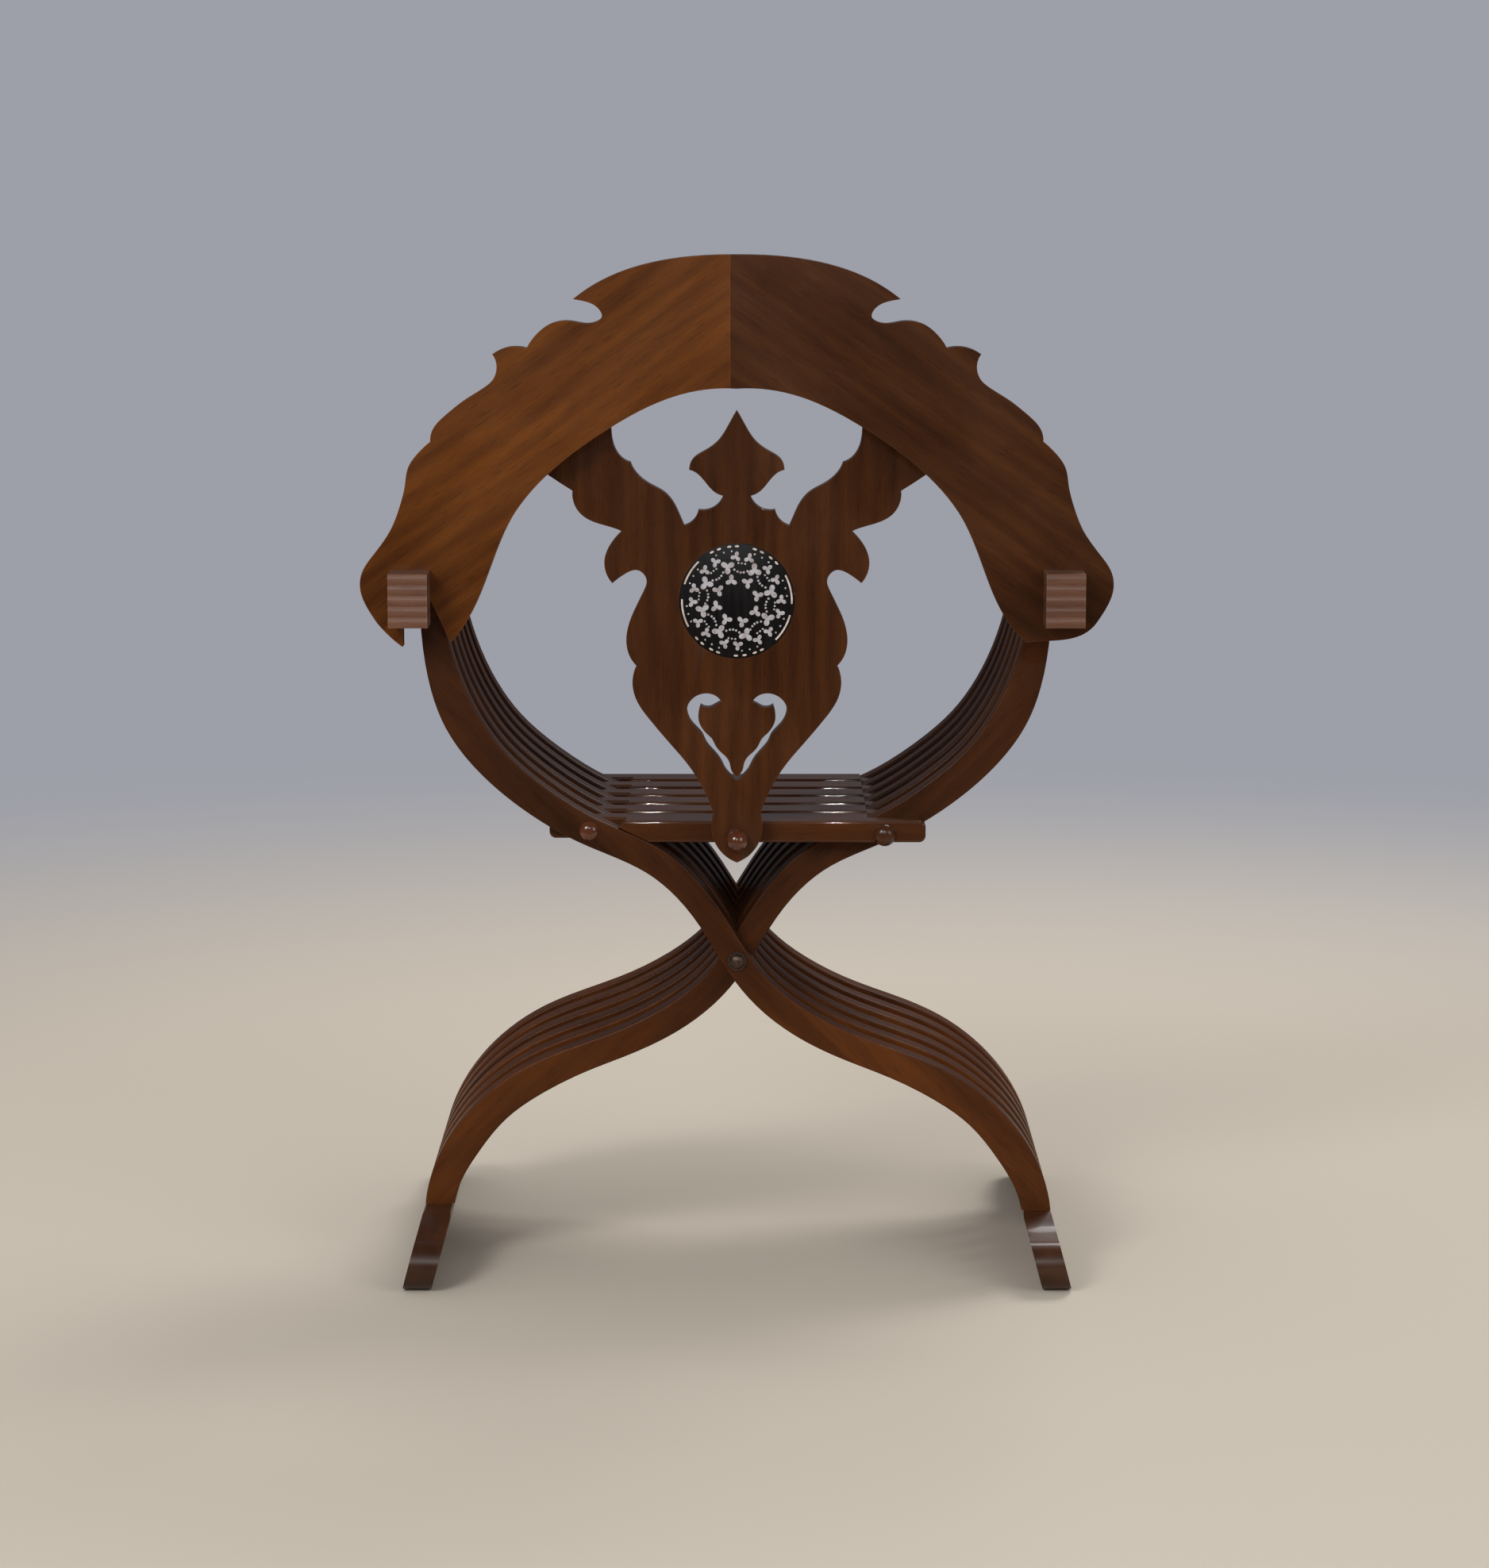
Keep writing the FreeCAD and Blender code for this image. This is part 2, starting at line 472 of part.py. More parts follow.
def rods():
    """The main pivot and the two seat rods, each with its caps."""
    stack = 2 * PAIRS * pitch - size.slat_gap
    washer = size.pivot_washer_thickness
    seat = size.joint_clearance
    bite = size.pivot_head_height / 2
    profile = rod_profile(size.pivot_rod_radius, stack + washer + bite, size.pivot_head_radius,
                          size.pivot_head_height, washer)
    turned("main_pivot_rod", profile, "0", STACK_REAR, PIVOT_HEIGHT)
    bore = size.pivot_rod_radius + size.rod_clearance
    turned("main_pivot_nut", cap_profile(size.pivot_head_radius, size.pivot_head_height, bore, bite + seat),
           "0", f"-{STACK_REAR} + Sizes.pivot_washer_thickness", PIVOT_HEIGHT)
    rim = [Vector(-washer, bore, 0), Vector(-washer, size.pivot_washer_radius, 0),
           Vector(0, size.pivot_washer_radius, 0), Vector(0, bore, 0)]
    turned("pivot_washer_rear", lines(rim), "0", STACK_REAR, PIVOT_HEIGHT)
    turned("pivot_washer_front", lines(rim), "0", f"-{STACK_REAR} + Sizes.pivot_washer_thickness",
           PIVOT_HEIGHT)
    bore = size.seat_rod_radius + size.rod_clearance
    for name, x, rise, radius, height in (
            ("seat_hinge", f"-{HINGE_X}", HINGE_RISE, size.hinge_button_radius, size.hinge_button_height),
            ("seat_rest", HINGE_X, REST_RISE, size.rest_button_radius, size.rest_button_height)):
        z = f"{PIVOT_HEIGHT} + {rise}"
        bite = height / 2
        turned(f"{name}_rod", rod_profile(size.seat_rod_radius, stack + bite, radius, height, 0),
               x, STACK_REAR, z)
        turned(f"{name}_button", cap_profile(radius, height, bore, bite + seat), x, f"-{STACK_REAR}", z)


def arm(name, side):
    """One arm rail with its front scroll, the mortises of six slats and the socket of its dowel."""
    body = new_body(name)
    top = size.arm_thickness
    front = -stack_rear + size.slat_gap
    scroll = Vector(-stack_rear + size.runner_overhang - size.scroll_radius - size.edge_round,
                    top - size.scroll_drop, 0)
    radius = size.scroll_radius
    crest = scroll + Vector(0, radius, 0)
    under = scroll + Vector(-math.sin(math.pi / 4), -math.cos(math.pi / 4), 0) * radius
    heel = Vector(front, 0, 0)
    rear_low, rear_high = Vector(stack_rear, 0, 0), Vector(stack_rear, top, 0)
    dip = spline([rear_high, Vector(stack_rear / 2, top - size.arm_waist / 2, 0),
                  Vector(0, top - size.arm_waist, 0), Vector(-stack_rear / 2, top - size.arm_waist / 2, 0),
                  Vector(front, top + size.arm_waist / 2, 0), crest])
    nose = Part.Arc(crest, scroll + Vector(radius, 0, 0), under)
    straight = [Part.LineSegment(a, b) for a, b in ((under, heel), (heel, rear_low), (rear_low, rear_high))]
    rail = new_sketch(body, "YZ_Plane", [dip, nose] + straight, "-Sizes.arm_width / 2")
    bar = pad(body, rail, "Sizes.arm_width", towards_rear=True)
    round_edges(body, bar, lambda edge: edge.BoundBox.XLength < size.slat_gap
                and edge.Length > size.scroll_radius * 2 and edge.BoundBox.Center.z > size.edge_round)
    half_x = size.tenon_width / 2 + size.joint_clearance
    half_y = size.tenon_thickness / 2 + size.joint_clearance
    middle = -side * size.neck_outset
    mortises = []
    for index in range(PAIRS):
        layer = 2 * index + (0 if side == LEFT else 1)
        y = stack_rear + layer * pitch + size.slat_thickness / 2
        mortises += lines([Vector(middle - half_x, y - half_y, 0), Vector(middle + half_x, y - half_y, 0),
                           Vector(middle + half_x, y + half_y, 0), Vector(middle - half_x, y + half_y, 0)])
    pocket(body, new_sketch(body, "XY_Plane", mortises), "Sizes.tenon_length + Sizes.joint_clearance",
           reverse=True)
    socket = new_sketch(body, "XZ_Plane", [Part.Circle(Vector(0, top / 2, 0), Vector(0, 0, 1),
                                                       size.neck_radius + size.rod_clearance)],
                        f"-{STACK_REAR}")
    tie_circle(socket, 0, "Sizes.neck_radius + Sizes.rod_clearance", None, "Sizes.arm_thickness / 2")
    pocket(body, socket, "Sizes.neck_depth + Sizes.joint_clearance")
    put(body, x=f"{side} * {NECK_HALF_SPAN}", z=ARM_UNDERSIDE)


def neck_and_block(side, word):
    """The round dowel that carries the back and the reeded block on its rear end."""
    dowel = doc.addObject("Part::Cylinder", f"neck_dowel_{word}")
    dowel.Label = f"neck_dowel_{word}"
    dowel.setExpression("Radius", "Sizes.neck_radius")
    dowel.setExpression("Height", f"{STACK_REAR} - {BLOCK_FRONT} + 2 * Sizes.neck_depth")
    dowel.Placement.Rotation = FreeCAD.Rotation(Vector(1, 0, 0), -90)
    put(dowel, f"{side} * {NECK_HALF_SPAN}", f"{BLOCK_FRONT} - Sizes.neck_depth", NECK_HEIGHT)
    pieces.append(dowel)

    body = new_body(f"scroll_block_{word}")
    low = -size.block_height / 2
    reed = size.block_height / REEDS
    rear = -size.block_depth + size.reed_depth
    edges = []
    for index in range(REEDS):
        start = Vector(rear, low + index * reed, 0)
        end = Vector(rear, low + (index + 1) * reed, 0)
        edges.append(Part.Arc(start, (start + end) / 2 - Vector(size.reed_depth, 0, 0), end))
    corners = [Vector(rear, -low, 0), Vector(0, -low, 0), Vector(0, low, 0), Vector(rear, low, 0)]
    edges += [Part.LineSegment(a, b) for a, b in zip(corners, corners[1:])]
    profile = new_sketch(body, "YZ_Plane", edges, "-Sizes.block_width / 2")
    pad(body, profile, "Sizes.block_width", towards_rear=True)
    socket = new_sketch(body, "XZ_Plane", [Part.Circle(
        Vector(-side * size.block_outset, -size.block_above_neck, 0), Vector(0, 0, 1),
        size.neck_radius + size.rod_clearance)])
    tie_circle(socket, 0, "Sizes.neck_radius + Sizes.rod_clearance", "Sizes.block_outset",
               "Sizes.block_above_neck")
    pocket(body, socket, "Sizes.neck_depth + Sizes.joint_clearance", reverse=True)
    put(body, f"{side} * ({NECK_HALF_SPAN} + Sizes.block_outset)", BLOCK_FRONT,
        f"{NECK_HEIGHT} + Sizes.block_above_neck")


def runner(name, side, slat_side):
    """One floor runner, leaning outwards, with ogee ends, rounded toes and six mortises."""
    body = new_body(name)
    half = size.runner_width / 2
    lean = side * size.runner_lean
    tall = size.runner_height
    section = new_sketch(body, "XZ_Plane", lines([Vector(-half, tall, 0), Vector(half, tall, 0),
                                                  Vector(half + lean, 0, 0), Vector(-half + lean, 0, 0)]),
                         f"-({STACK_REAR} - Sizes.runner_overhang)")
    bar = pad(body, section, f"-2 * {STACK_REAR} + 2 * Sizes.runner_overhang")
    round_edges(body, bar, lambda edge: edge.BoundBox.YLength > -stack_rear, "Sizes.runner_edge_round")
    end = -stack_rear + size.runner_overhang
    over = size.runner_overhang
    high = tall + over
    toe, nose = size.runner_toe_height, size.runner_toe_height / 2
    for direction in (1, -1):
        crest = Vector(direction * (end - over + size.slat_gap), tall, 0)
        bend = Vector(direction * (end - over / 2), (tall + toe) / 2, 0)
        shelf = Vector(direction * (end - nose), toe, 0)
        tip = Vector(direction * end, nose, 0)
        sole = Vector(shelf.x, 0, 0)
        upper = crest + (bend - crest) * OGEE_SHARE
        lower = shelf + (bend - shelf) * OGEE_SHARE
        ogee = [spline([crest, upper, bend, lower, shelf]), Part.Arc(shelf, tip, sole)]
        past = direction * (end + nose)
        waste = [sole, Vector(past, 0, 0), Vector(past, high, 0), Vector(crest.x, high, 0), crest]
        cut = new_sketch(body, "YZ_Plane", ogee + [Part.LineSegment(a, b) for a, b in zip(waste, waste[1:])],
                         "-Sizes.runner_overhang")
        pocket(body, cut, "2 * Sizes.runner_overhang", reverse=True)
    half_x = size.tenon_width / 2 + size.joint_clearance
    half_y = size.tenon_thickness / 2 + size.joint_clearance
    mortises = []
    for index in range(PAIRS):
        layer = 2 * index + (0 if slat_side == LEFT else 1)
        y = stack_rear + layer * pitch + size.slat_thickness / 2
        mortises += lines([Vector(-half_x, y - half_y, 0), Vector(half_x, y - half_y, 0),
                           Vector(half_x, y + half_y, 0), Vector(-half_x, y + half_y, 0)])
    seats = new_sketch(body, "XY_Plane", mortises, "Sizes.runner_height")
    pocket(body, seats, "Sizes.tenon_length + Sizes.joint_clearance")
    put(body, f"{side} * Sizes.slat_half_span")


def board_point(share, side):
    """A point of the arched board, measured from the middle at the height of the arm dowels."""
    return Vector(side * share[0] * board_half_span, share[1] * size.board_rise, 0)


def board_outline():
    """The whole arched board: hooked prongs on the left, a round pivot end on the right."""
    edges = []
    for side in (LEFT, RIGHT):
        for run in BOARD_OUTER_SHARES:
            edges.append(spline([board_point(share, side) for share in run]))
    edges.append(spline([board_point(share, RIGHT) for share in BOARD_ROUND_END_SHARES]))
    edges.append(spline([board_point(share, RIGHT) for share in BOARD_INNER_SHARES]))
    lean = math.radians(size.hook_angle)
    radius = size.neck_radius + math.hypot(size.hook_offset, size.hook_offset) + size.hook_clearance
    centre = Vector(-neck_half_span - size.hook_offset, -size.hook_offset, 0)
    wall = Vector(centre.x - radius, centre.y, 0)
    tip = Vector(wall.x, BOARD_PRONG_TIP_SHARE * size.board_rise, 0)
    touch = centre + Vector(math.cos(lean), math.sin(lean), 0) * radius
    foot_height = BOARD_INNER_SHARES[0][1] * size.board_rise
    foot = Vector(touch.x + (touch.y - foot_height) * math.tan(lean), foot_height, 0)
    edges.append(spline([board_point(share, LEFT) for share in BOARD_PRONG_SHARES] + [tip]))
    edges.append(Part.LineSegment(tip, wall))
    edges.append(Part.Arc(wall, centre + Vector(0, radius, 0), touch))
    edges.append(Part.LineSegment(touch, foot))
    edges.append(spline([foot] + [board_point(share, LEFT) for share in BOARD_INNER_SHARES[1:]]))
    return edges


def back_board(name, side):
    """One half of the arched board, cut at the seam, with its dowel and screw holes."""
    body = new_body(name)
    pad(body, new_sketch(body, "XZ_Plane", board_outline()), "Sizes.board_thickness")
    far = board_half_span + size.board_thickness
    seam = -size.board_seam
    edge = seam - side * far
    tall = size.board_rise + size.board_thickness
    waste = [Vector(seam, -tall, 0), Vector(seam, tall, 0), Vector(edge, tall, 0), Vector(edge, -tall, 0)]
    pocket(body, new_sketch(body, "XZ_Plane", lines(waste)), "Sizes.board_thickness")
    dowels = [Part.Circle(Vector(size.board_thickness / 2, share * size.board_rise, 0), Vector(0, 0, 1),
                          size.seam_dowel_radius + size.rod_clearance) for share in SEAM_DOWEL_SHARES]
    bores = new_sketch(body, "YZ_Plane", dowels, "-Sizes.board_seam")
    for index in range(len(dowels)):
        tie_circle(bores, index, "Sizes.seam_dowel_radius + Sizes.rod_clearance",
                   "Sizes.board_thickness / 2", None)
    pocket(body, bores, "Sizes.seam_dowel_length / 2 + Sizes.joint_clearance", reverse=(side == RIGHT))
    screws = [Part.Circle(Vector(side * share[0] * splat_half_span,
                                 share[1] * splat_height + splat_foot - neck_height, 0),
                          Vector(0, 0, 1), size.screw_radius + size.rod_clearance) for share in SCREW_SHARES]
    bores = new_sketch(body, "XZ_Plane", screws, "-Sizes.board_thickness")
    for index in range(len(screws)):
        tie_circle(bores, index, "Sizes.screw_radius + Sizes.rod_clearance", None, None)
    pocket(body, bores, "Sizes.screw_bite + Sizes.joint_clearance", reverse=True)
    if side == RIGHT:
        bore = new_sketch(body, "XZ_Plane", [Part.Circle(Vector(neck_half_span, 0, 0), Vector(0, 0, 1),
                                                         size.neck_radius + size.rod_clearance)])
        tie_circle(bore, 0, "Sizes.neck_radius + Sizes.rod_clearance", NECK_HALF_SPAN, None)
        pocket(body, bore, "Sizes.board_thickness")
    put(body, y=f"{BOARD_FRONT} - Sizes.board_thickness", z=NECK_HEIGHT)


def seam_dowels():
    """Two hidden dowels across the board's seam."""
    dowels = []
    for index, share in enumerate(SEAM_DOWEL_SHARES):
        dowel = doc.addObject("Part::Cylinder", f"seam_dowel_{index + 1}")
        dowel.setExpression("Radius", "Sizes.seam_dowel_radius")
        dowel.setExpression("Height", "Sizes.seam_dowel_length")
        dowel.Placement.Rotation = FreeCAD.Rotation(Vector(0, 1, 0), 90)
        put(dowel, "-Sizes.board_seam - Sizes.seam_dowel_length / 2",
            f"{BOARD_FRONT} - Sizes.board_thickness / 2",
            f"{NECK_HEIGHT} + {share} * Sizes.board_rise")
        dowels.append(dowel)
    group = doc.addObject("Part::Compound", "seam_dowels")
    group.Label = "seam_dowels"
    group.Links = dowels
    pieces.append(group)


def splat_point(share, side):
    """A point of the splat, measured from its foot."""
    return Vector(side * share[0] * splat_half_span, share[1] * splat_height, 0)


def splat():
    """The pierced splat with the openings for its disc, its knob and its screws."""
    body = new_body("back_splat")
    edges = []
    for side in (LEFT, RIGHT):
        for run in SPLAT_SHARES:
            edges.append(spline([splat_point(share, side) for share in run]))
    last = splat_point(SPLAT_SHARES[-1][-1], RIGHT)
    lobe = Vector(0, size.knob_above_foot, 0)
    widest = lobe + Vector(size.knob_above_foot, 0, 0)
    for side in (LEFT, RIGHT):
        hip = Vector(side * last.x, last.y, 0)
        edges.append(Part.Arc(hip, Vector(side * widest.x, widest.y, 0), Vector(0, 0, 0)))
    pad(body, new_sketch(body, "XZ_Plane", edges), "Sizes.splat_thickness")
    heart = []
    for side in (LEFT, RIGHT):
        for run in PIERCING_SHARES:
            heart.append(spline([splat_point(share, side) for share in run]))
    pocket(body, new_sketch(body, "XZ_Plane", heart), "Sizes.splat_thickness")
    holes = [Part.Circle(Vector(0, medallion_above_foot, 0), Vector(0, 0, 1),
                         size.medallion_radius + size.joint_clearance),
             Part.Circle(lobe, Vector(0, 0, 1), size.knob_pin_radius + size.rod_clearance)]
    heads = []
    for side in (LEFT, RIGHT):
        for share in SCREW_SHARES:
            holes.append(Part.Circle(splat_point(share, side), Vector(0, 0, 1),
                                     size.screw_radius + size.rod_clearance))
            heads.append(Part.Circle(splat_point(share, side), Vector(0, 0, 1),
                                     size.screw_head_radius + size.rod_clearance))
    bores = new_sketch(body, "XZ_Plane", holes)
    tie_circle(bores, 0, "Sizes.medallion_radius + Sizes.joint_clearance", None, MEDALLION_ABOVE_FOOT)
    tie_circle(bores, 1, "Sizes.knob_pin_radius + Sizes.rod_clearance", None, "Sizes.knob_above_foot")
    pocket(body, bores, "Sizes.splat_thickness")
    sunk = new_sketch(body, "XZ_Plane", heads, "-Sizes.splat_thickness")
    pocket(body, sunk, "Sizes.screw_head_height", reverse=True)
    put(body, y=f"{SPLAT_FRONT} - Sizes.splat_thickness", z=SPLAT_FOOT)


def medallion():
    """The dark inlaid disc, set right through the splat."""
    disc = doc.addObject("Part::Cylinder", "medallion_disc")
    disc.Label = "medallion_disc"
    disc.setExpression("Radius", "Sizes.medallion_radius")
    disc.setExpression("Height", "Sizes.splat_thickness")
    disc.Placement.Rotation = FreeCAD.Rotation(Vector(1, 0, 0), -90)
    put(disc, "0", f"{SPLAT_FRONT} - Sizes.splat_thickness", f"{SPLAT_FOOT} + {MEDALLION_ABOVE_FOOT}")
    pieces.append(disc)


def knob():
    """The turned ball on the splat's foot, with a pin through the splat."""
    radius, sink = size.knob_radius, size.knob_sink
    centre = -(radius - sink)
    flat = math.sqrt(radius ** 2 - centre ** 2)
    rear = Vector(centre - radius, 0, 0)
    side = Vector(centre, radius, 0)
    seat = Vector(0, flat, 0)
    pin = size.knob_pin_radius
    profile = [Part.Arc(rear, side, seat), Part.LineSegment(seat, Vector(0, pin, 0)),
               Part.LineSegment(Vector(0, pin, 0), Vector(size.splat_thickness, pin, 0)),
               Part.LineSegment(Vector(size.splat_thickness, pin, 0), Vector(size.splat_thickness, 0, 0)),
               Part.LineSegment(Vector(size.splat_thickness, 0, 0), rear)]
    turned("splat_knob", profile, "0", BOARD_FRONT, f"{SPLAT_FOOT} + Sizes.knob_above_foot")


def screws():
    """Four screws through the splat's wings into the board."""
    parts = []
    for side in (LEFT, RIGHT):
        for number, share in enumerate(SCREW_SHARES, start=1):
            word = "left" if side == LEFT else "right"
            head = doc.addObject("Part::Cylinder", f"screw_head_{word}_{number}")
            head.setExpression("Radius", "Sizes.screw_head_radius")
            head.setExpression("Height", "Sizes.screw_head_height")
            shank = doc.addObject("Part::Cylinder", f"screw_shank_{word}_{number}")
            shank.setExpression("Radius", "Sizes.screw_radius")
            shank.setExpression("Height", "Sizes.splat_thickness + Sizes.screw_bite")
            for piece in (head, shank):
                piece.Placement.Rotation = FreeCAD.Rotation(Vector(1, 0, 0), 90)
                put(piece, f"{side * share[0]} * {SPLAT_HALF_SPAN}", SPLAT_FRONT,
                    f"{SPLAT_FOOT} + {share[1]} * {SPLAT_HEIGHT}")
            screw = doc.addObject("Part::Fuse", f"screw_{word}_{number}")
            screw.Base, screw.Tool = head, shank
            parts.append(screw)
    group = doc.addObject("Part::Compound", "wing_screws")
    group.Label = "wing_screws"
    group.Links = parts
    pieces.append(group)


def build():
    """Builds every piece, checks it and writes it to its own STEP file."""
    for index in range(PAIRS):
        curved_slat(f"slat_left_{index + 1}", LEFT, index)
        curved_slat(f"slat_right_{index + 1}", RIGHT, index)
        seat_slat(f"seat_slat_{index + 1}", index)
    rods()
    for side, word in ((LEFT, "left"), (RIGHT, "right")):
        arm(f"arm_{word}", side)
        neck_and_block(side, word)
        runner(f"foot_runner_{word}", side, -side)
        back_board(f"back_board_{word}", side)
    seam_dowels()
    splat()
    medallion()
    knob()
    screws()
    doc.recompute()
    for item in doc.Objects:
        if "Invalid" in item.State or "Error" in item.State:
            raise RuntimeError(f"{item.Name} failed: {item.State}")
    for piece in pieces:
        if piece.Shape.isNull() or not piece.Shape.isValid():
            raise RuntimeError(f"{piece.Label} has no sound shape")
        piece.Shape.exportStep(f"parts/{piece.Label}.step")
    print(len(pieces), "pieces written")


build()
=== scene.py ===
"""Finishes of a folding slat chair: polished walnut slats, seat, arms and runners,
an arched back board, a pierced splat and a disc of bone inlay."""
import json
import math
from collections import namedtuple

import bmesh
import bpy
from mathutils import Matrix, Vector

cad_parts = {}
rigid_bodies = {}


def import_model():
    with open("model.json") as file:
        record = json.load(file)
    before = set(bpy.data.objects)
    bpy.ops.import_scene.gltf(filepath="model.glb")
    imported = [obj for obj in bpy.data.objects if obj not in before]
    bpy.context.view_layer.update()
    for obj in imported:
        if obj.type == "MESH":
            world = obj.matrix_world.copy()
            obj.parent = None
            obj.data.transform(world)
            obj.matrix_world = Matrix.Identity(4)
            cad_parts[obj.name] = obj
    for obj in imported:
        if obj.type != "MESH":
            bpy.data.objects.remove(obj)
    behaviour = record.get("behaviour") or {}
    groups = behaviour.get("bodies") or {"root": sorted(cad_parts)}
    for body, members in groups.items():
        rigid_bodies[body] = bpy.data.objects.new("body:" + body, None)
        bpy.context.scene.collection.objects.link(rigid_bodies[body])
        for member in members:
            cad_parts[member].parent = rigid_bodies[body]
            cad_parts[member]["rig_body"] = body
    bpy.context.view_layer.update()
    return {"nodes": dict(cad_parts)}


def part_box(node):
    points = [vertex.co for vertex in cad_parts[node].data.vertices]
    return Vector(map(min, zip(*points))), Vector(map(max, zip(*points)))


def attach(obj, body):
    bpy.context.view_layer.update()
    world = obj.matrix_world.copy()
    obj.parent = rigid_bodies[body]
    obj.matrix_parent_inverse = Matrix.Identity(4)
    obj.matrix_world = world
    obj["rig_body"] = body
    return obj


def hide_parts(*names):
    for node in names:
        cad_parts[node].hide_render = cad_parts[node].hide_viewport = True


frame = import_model()

bl_info = {
    "name": "Folding slat chair finishes",
    "version": (1, 0, 0),
    "blender": (4, 5, 0),
    "location": "View3D > Sidebar > Chair",
    "description": "Wood, inlay and iron finishes for a folding slat chair, and its stage",
    "category": "Object",
}

PAIRS = 6
QUARTER = math.pi / 2
EIGHTHS = 8
EIGHTH = math.tau / EIGHTHS

# Meshes, in metres and radians; points nearer than the small gap lie in one place
SMALL_GAP = 0.000005
SHARP_ANGLE = math.radians(38)
FLAT_ANGLE = math.radians(1)

# Rounded plates, whose small round bores keep their sharp edges
SMALL_BORE = 0.012
OUT_OF_ROUND = SMALL_BORE / 20
ROUNDING_STEPS = 4
FLAT_INSET = 0.3
MITRE_LIMIT = 0.5

# Layers of the wood's figure; the smaller along is, the further a layer is drawn out along the grain
Layer = namedtuple("Layer", "along scale detail roughness distortion")
CLOUD = Layer(0.45, 15.0, 3.0, 0.5, 0.3)
STREAKS = Layer(0.08, 62.0, 4.0, 0.55, 0.25)
FINE_LINES = Layer(0.03, 620.0, 3.0, 0.6, 0.0)
PORES = Layer(0.035, 1500.0, 2.0, 0.6, 0.0)
EBONY_STREAKS = Layer(0.08, 300.0, 3.0, 0.5, 0.0)
RINGS_ALONG = 0.22
RINGS = {"Scale": 17.0, "Distortion": 6.0, "Detail": 3.0, "Detail Scale": 1.2}

# How much each layer adds to the wood's tone, and the tones between which its colour runs
CLOUD_SHARE = 0.44
STREAKS_SHARE = 0.32
FINE_SHARE = 0.16
RINGS_SHARE = 0.08
MIDDLE_COLOUR_SHARE = 0.45
MIDDLE_TONE = 0.46
MIDDLE_TONE_PER_FIGURE = 0.04
TONE_REACH = 0.16
PORE_STOPS = ((0.30, 0.55), (0.42, 1.0))

# Relief of the wood: the weight of each layer, and the bump's strength and depth
FINE_RELIEF = 0.5
PORE_RELIEF = 0.5
CLOUD_RELIEF = 1.2
RELIEF_STRENGTH = 0.12
RELIEF_DEPTH = 0.0006

# Edges rubbed lighter, partly as wear and partly as a painted highlight; duller patches; and painted shade
# that makes the slats darker from one height to another
WEAR_AND_HIGHLIGHT_WIDTH = 0.0016
WEAR_AND_HIGHLIGHT_STOPS = ((0.80, 0.55), (0.98, 0.0))
WEAR_AND_HIGHLIGHT_GAIN = 1.7
WEAR_AND_HIGHLIGHT_LIFT = 0.012
LEAST_WEAR_AND_HIGHLIGHT = 0.1
DULLER = 0.08
# painted shade on the slats: darker above these heights
PAINTED_SHADE_FROM = 0.20
PAINTED_SHADE_TO = 0.34
PAINTED_SHADE_SHARE = 0.56
PAINTED_SHADE_WAVER = 0.10

# The place in the tree that each group of like pieces is cut from, and the step to the next piece
LEFT_SLAT_WOOD = (0.0, 1.0, 0.0)
RIGHT_SLAT_WOOD = (0.0, 0.0, 0.0)
SLAT_WOOD_STEP = (0.37, 0.21, 0.13)
SEAT_WOOD = (0.0, 0.0, 2.0)
SEAT_WOOD_STEP = (0.29, 0.17, 0.11)
ARM_WOOD = (0.0, 0.2, 3.0)
ARM_WOOD_STEP = (0.4, 0.0, 0.3)
RUNNER_WOOD = (0.0, 0.5, 4.0)
RUNNER_WOOD_STEP = (0.3, 0.0, 0.2)
BLOCK_WOOD = (0.0, 0.1, 5.0)
BLOCK_WOOD_STEP = (0.5, 0.0, 0.0)

# Lean of the grain in the board halves, and how far the darkest slat's figure nears its streaks
BOARD_LEAN = 0.62
DARKEST_SLAT = 0.10

# Pattern of the disc: size and place of each motif, as shares of the disc's radius
INNER_LEAF_SHARES = (0.106, 0.368)
MIDDLE_LEAF_SHARES = (0.128, 0.612)
OUTER_LEAF_SHARES = (0.094, 0.768)
GARLAND_DOT_SHARES = (0.021, 0.50)
GARLAND_SAG_SHARE = 0.012
SHORT_ROW_DOT_SHARES = (0.018, 0.66)
OUTER_DOT_SHARES = (0.017, 0.868)
RIM_DOT_SHARES = (0.024, 0.950)
RIM_DOT_STRETCH = (1.7, 0.8, 1)
STRIP_SHARES = (0.030, 0.950)

# Angles of the pattern, in degrees
FIRST_EIGHTH = 15
OUTER_LEAF_ASIDE = 13.8
RIM_STRIPS = ((178, 208), (134, 162), (-3, 28), (-45, -15))
RIM_DOTS = (44, 52, 63, 71, 90, 98, 109, 117, 223, 231, 242, 250, 269, 278, 289, 297)
STRIP_FACE = 5

# Angles from dot to dot in a row, and the turns of the leaves about themselves, in radians
GARLAND_STEP = 0.105
SHORT_ROW_STEP = 0.09
OUTER_DOT_STEP = 0.16
OUTER_LEAF_TURN = 0.6
SWAY = 0.5
SWAY_STEP = 5.0

# Outline of a leaf: its lobes, its waist as a share of its radius, and how much the lobes narrow
LEAF_LOBES = 3
LEAF_WAIST = 0.27
LEAF_NARROWING = 1.3

# Finish of the disc: how much its ground greys in streaks, and where and how the rim's bone begins
GREYED_GAIN = 2.2
RIM_BONE_FROM = 0.90
RIM_BONE_TO = 0.92
RIM_BONE_WAVER = 0.02

# Lamps as name, place, size and power; the windows show in the polish alone
LAMP_TARGET = (0.0, 0.0, 0.5)
LAMPS = (("key_softbox", (-1.9, -3.0, 2.5), 1.3, 66.0),
         ("fill_softbox", (2.4, -2.4, 1.6), 1.6, 22.0),
         ("rear_softbox", (1.2, 2.3, 3.3), 1.5, 66.0))
WINDOWS = (("window_left", (-0.18, -4.3, 2.35), 0.035, 28.0),
           ("window_right", (0.19, -4.3, 2.35), 0.035, 28.0))

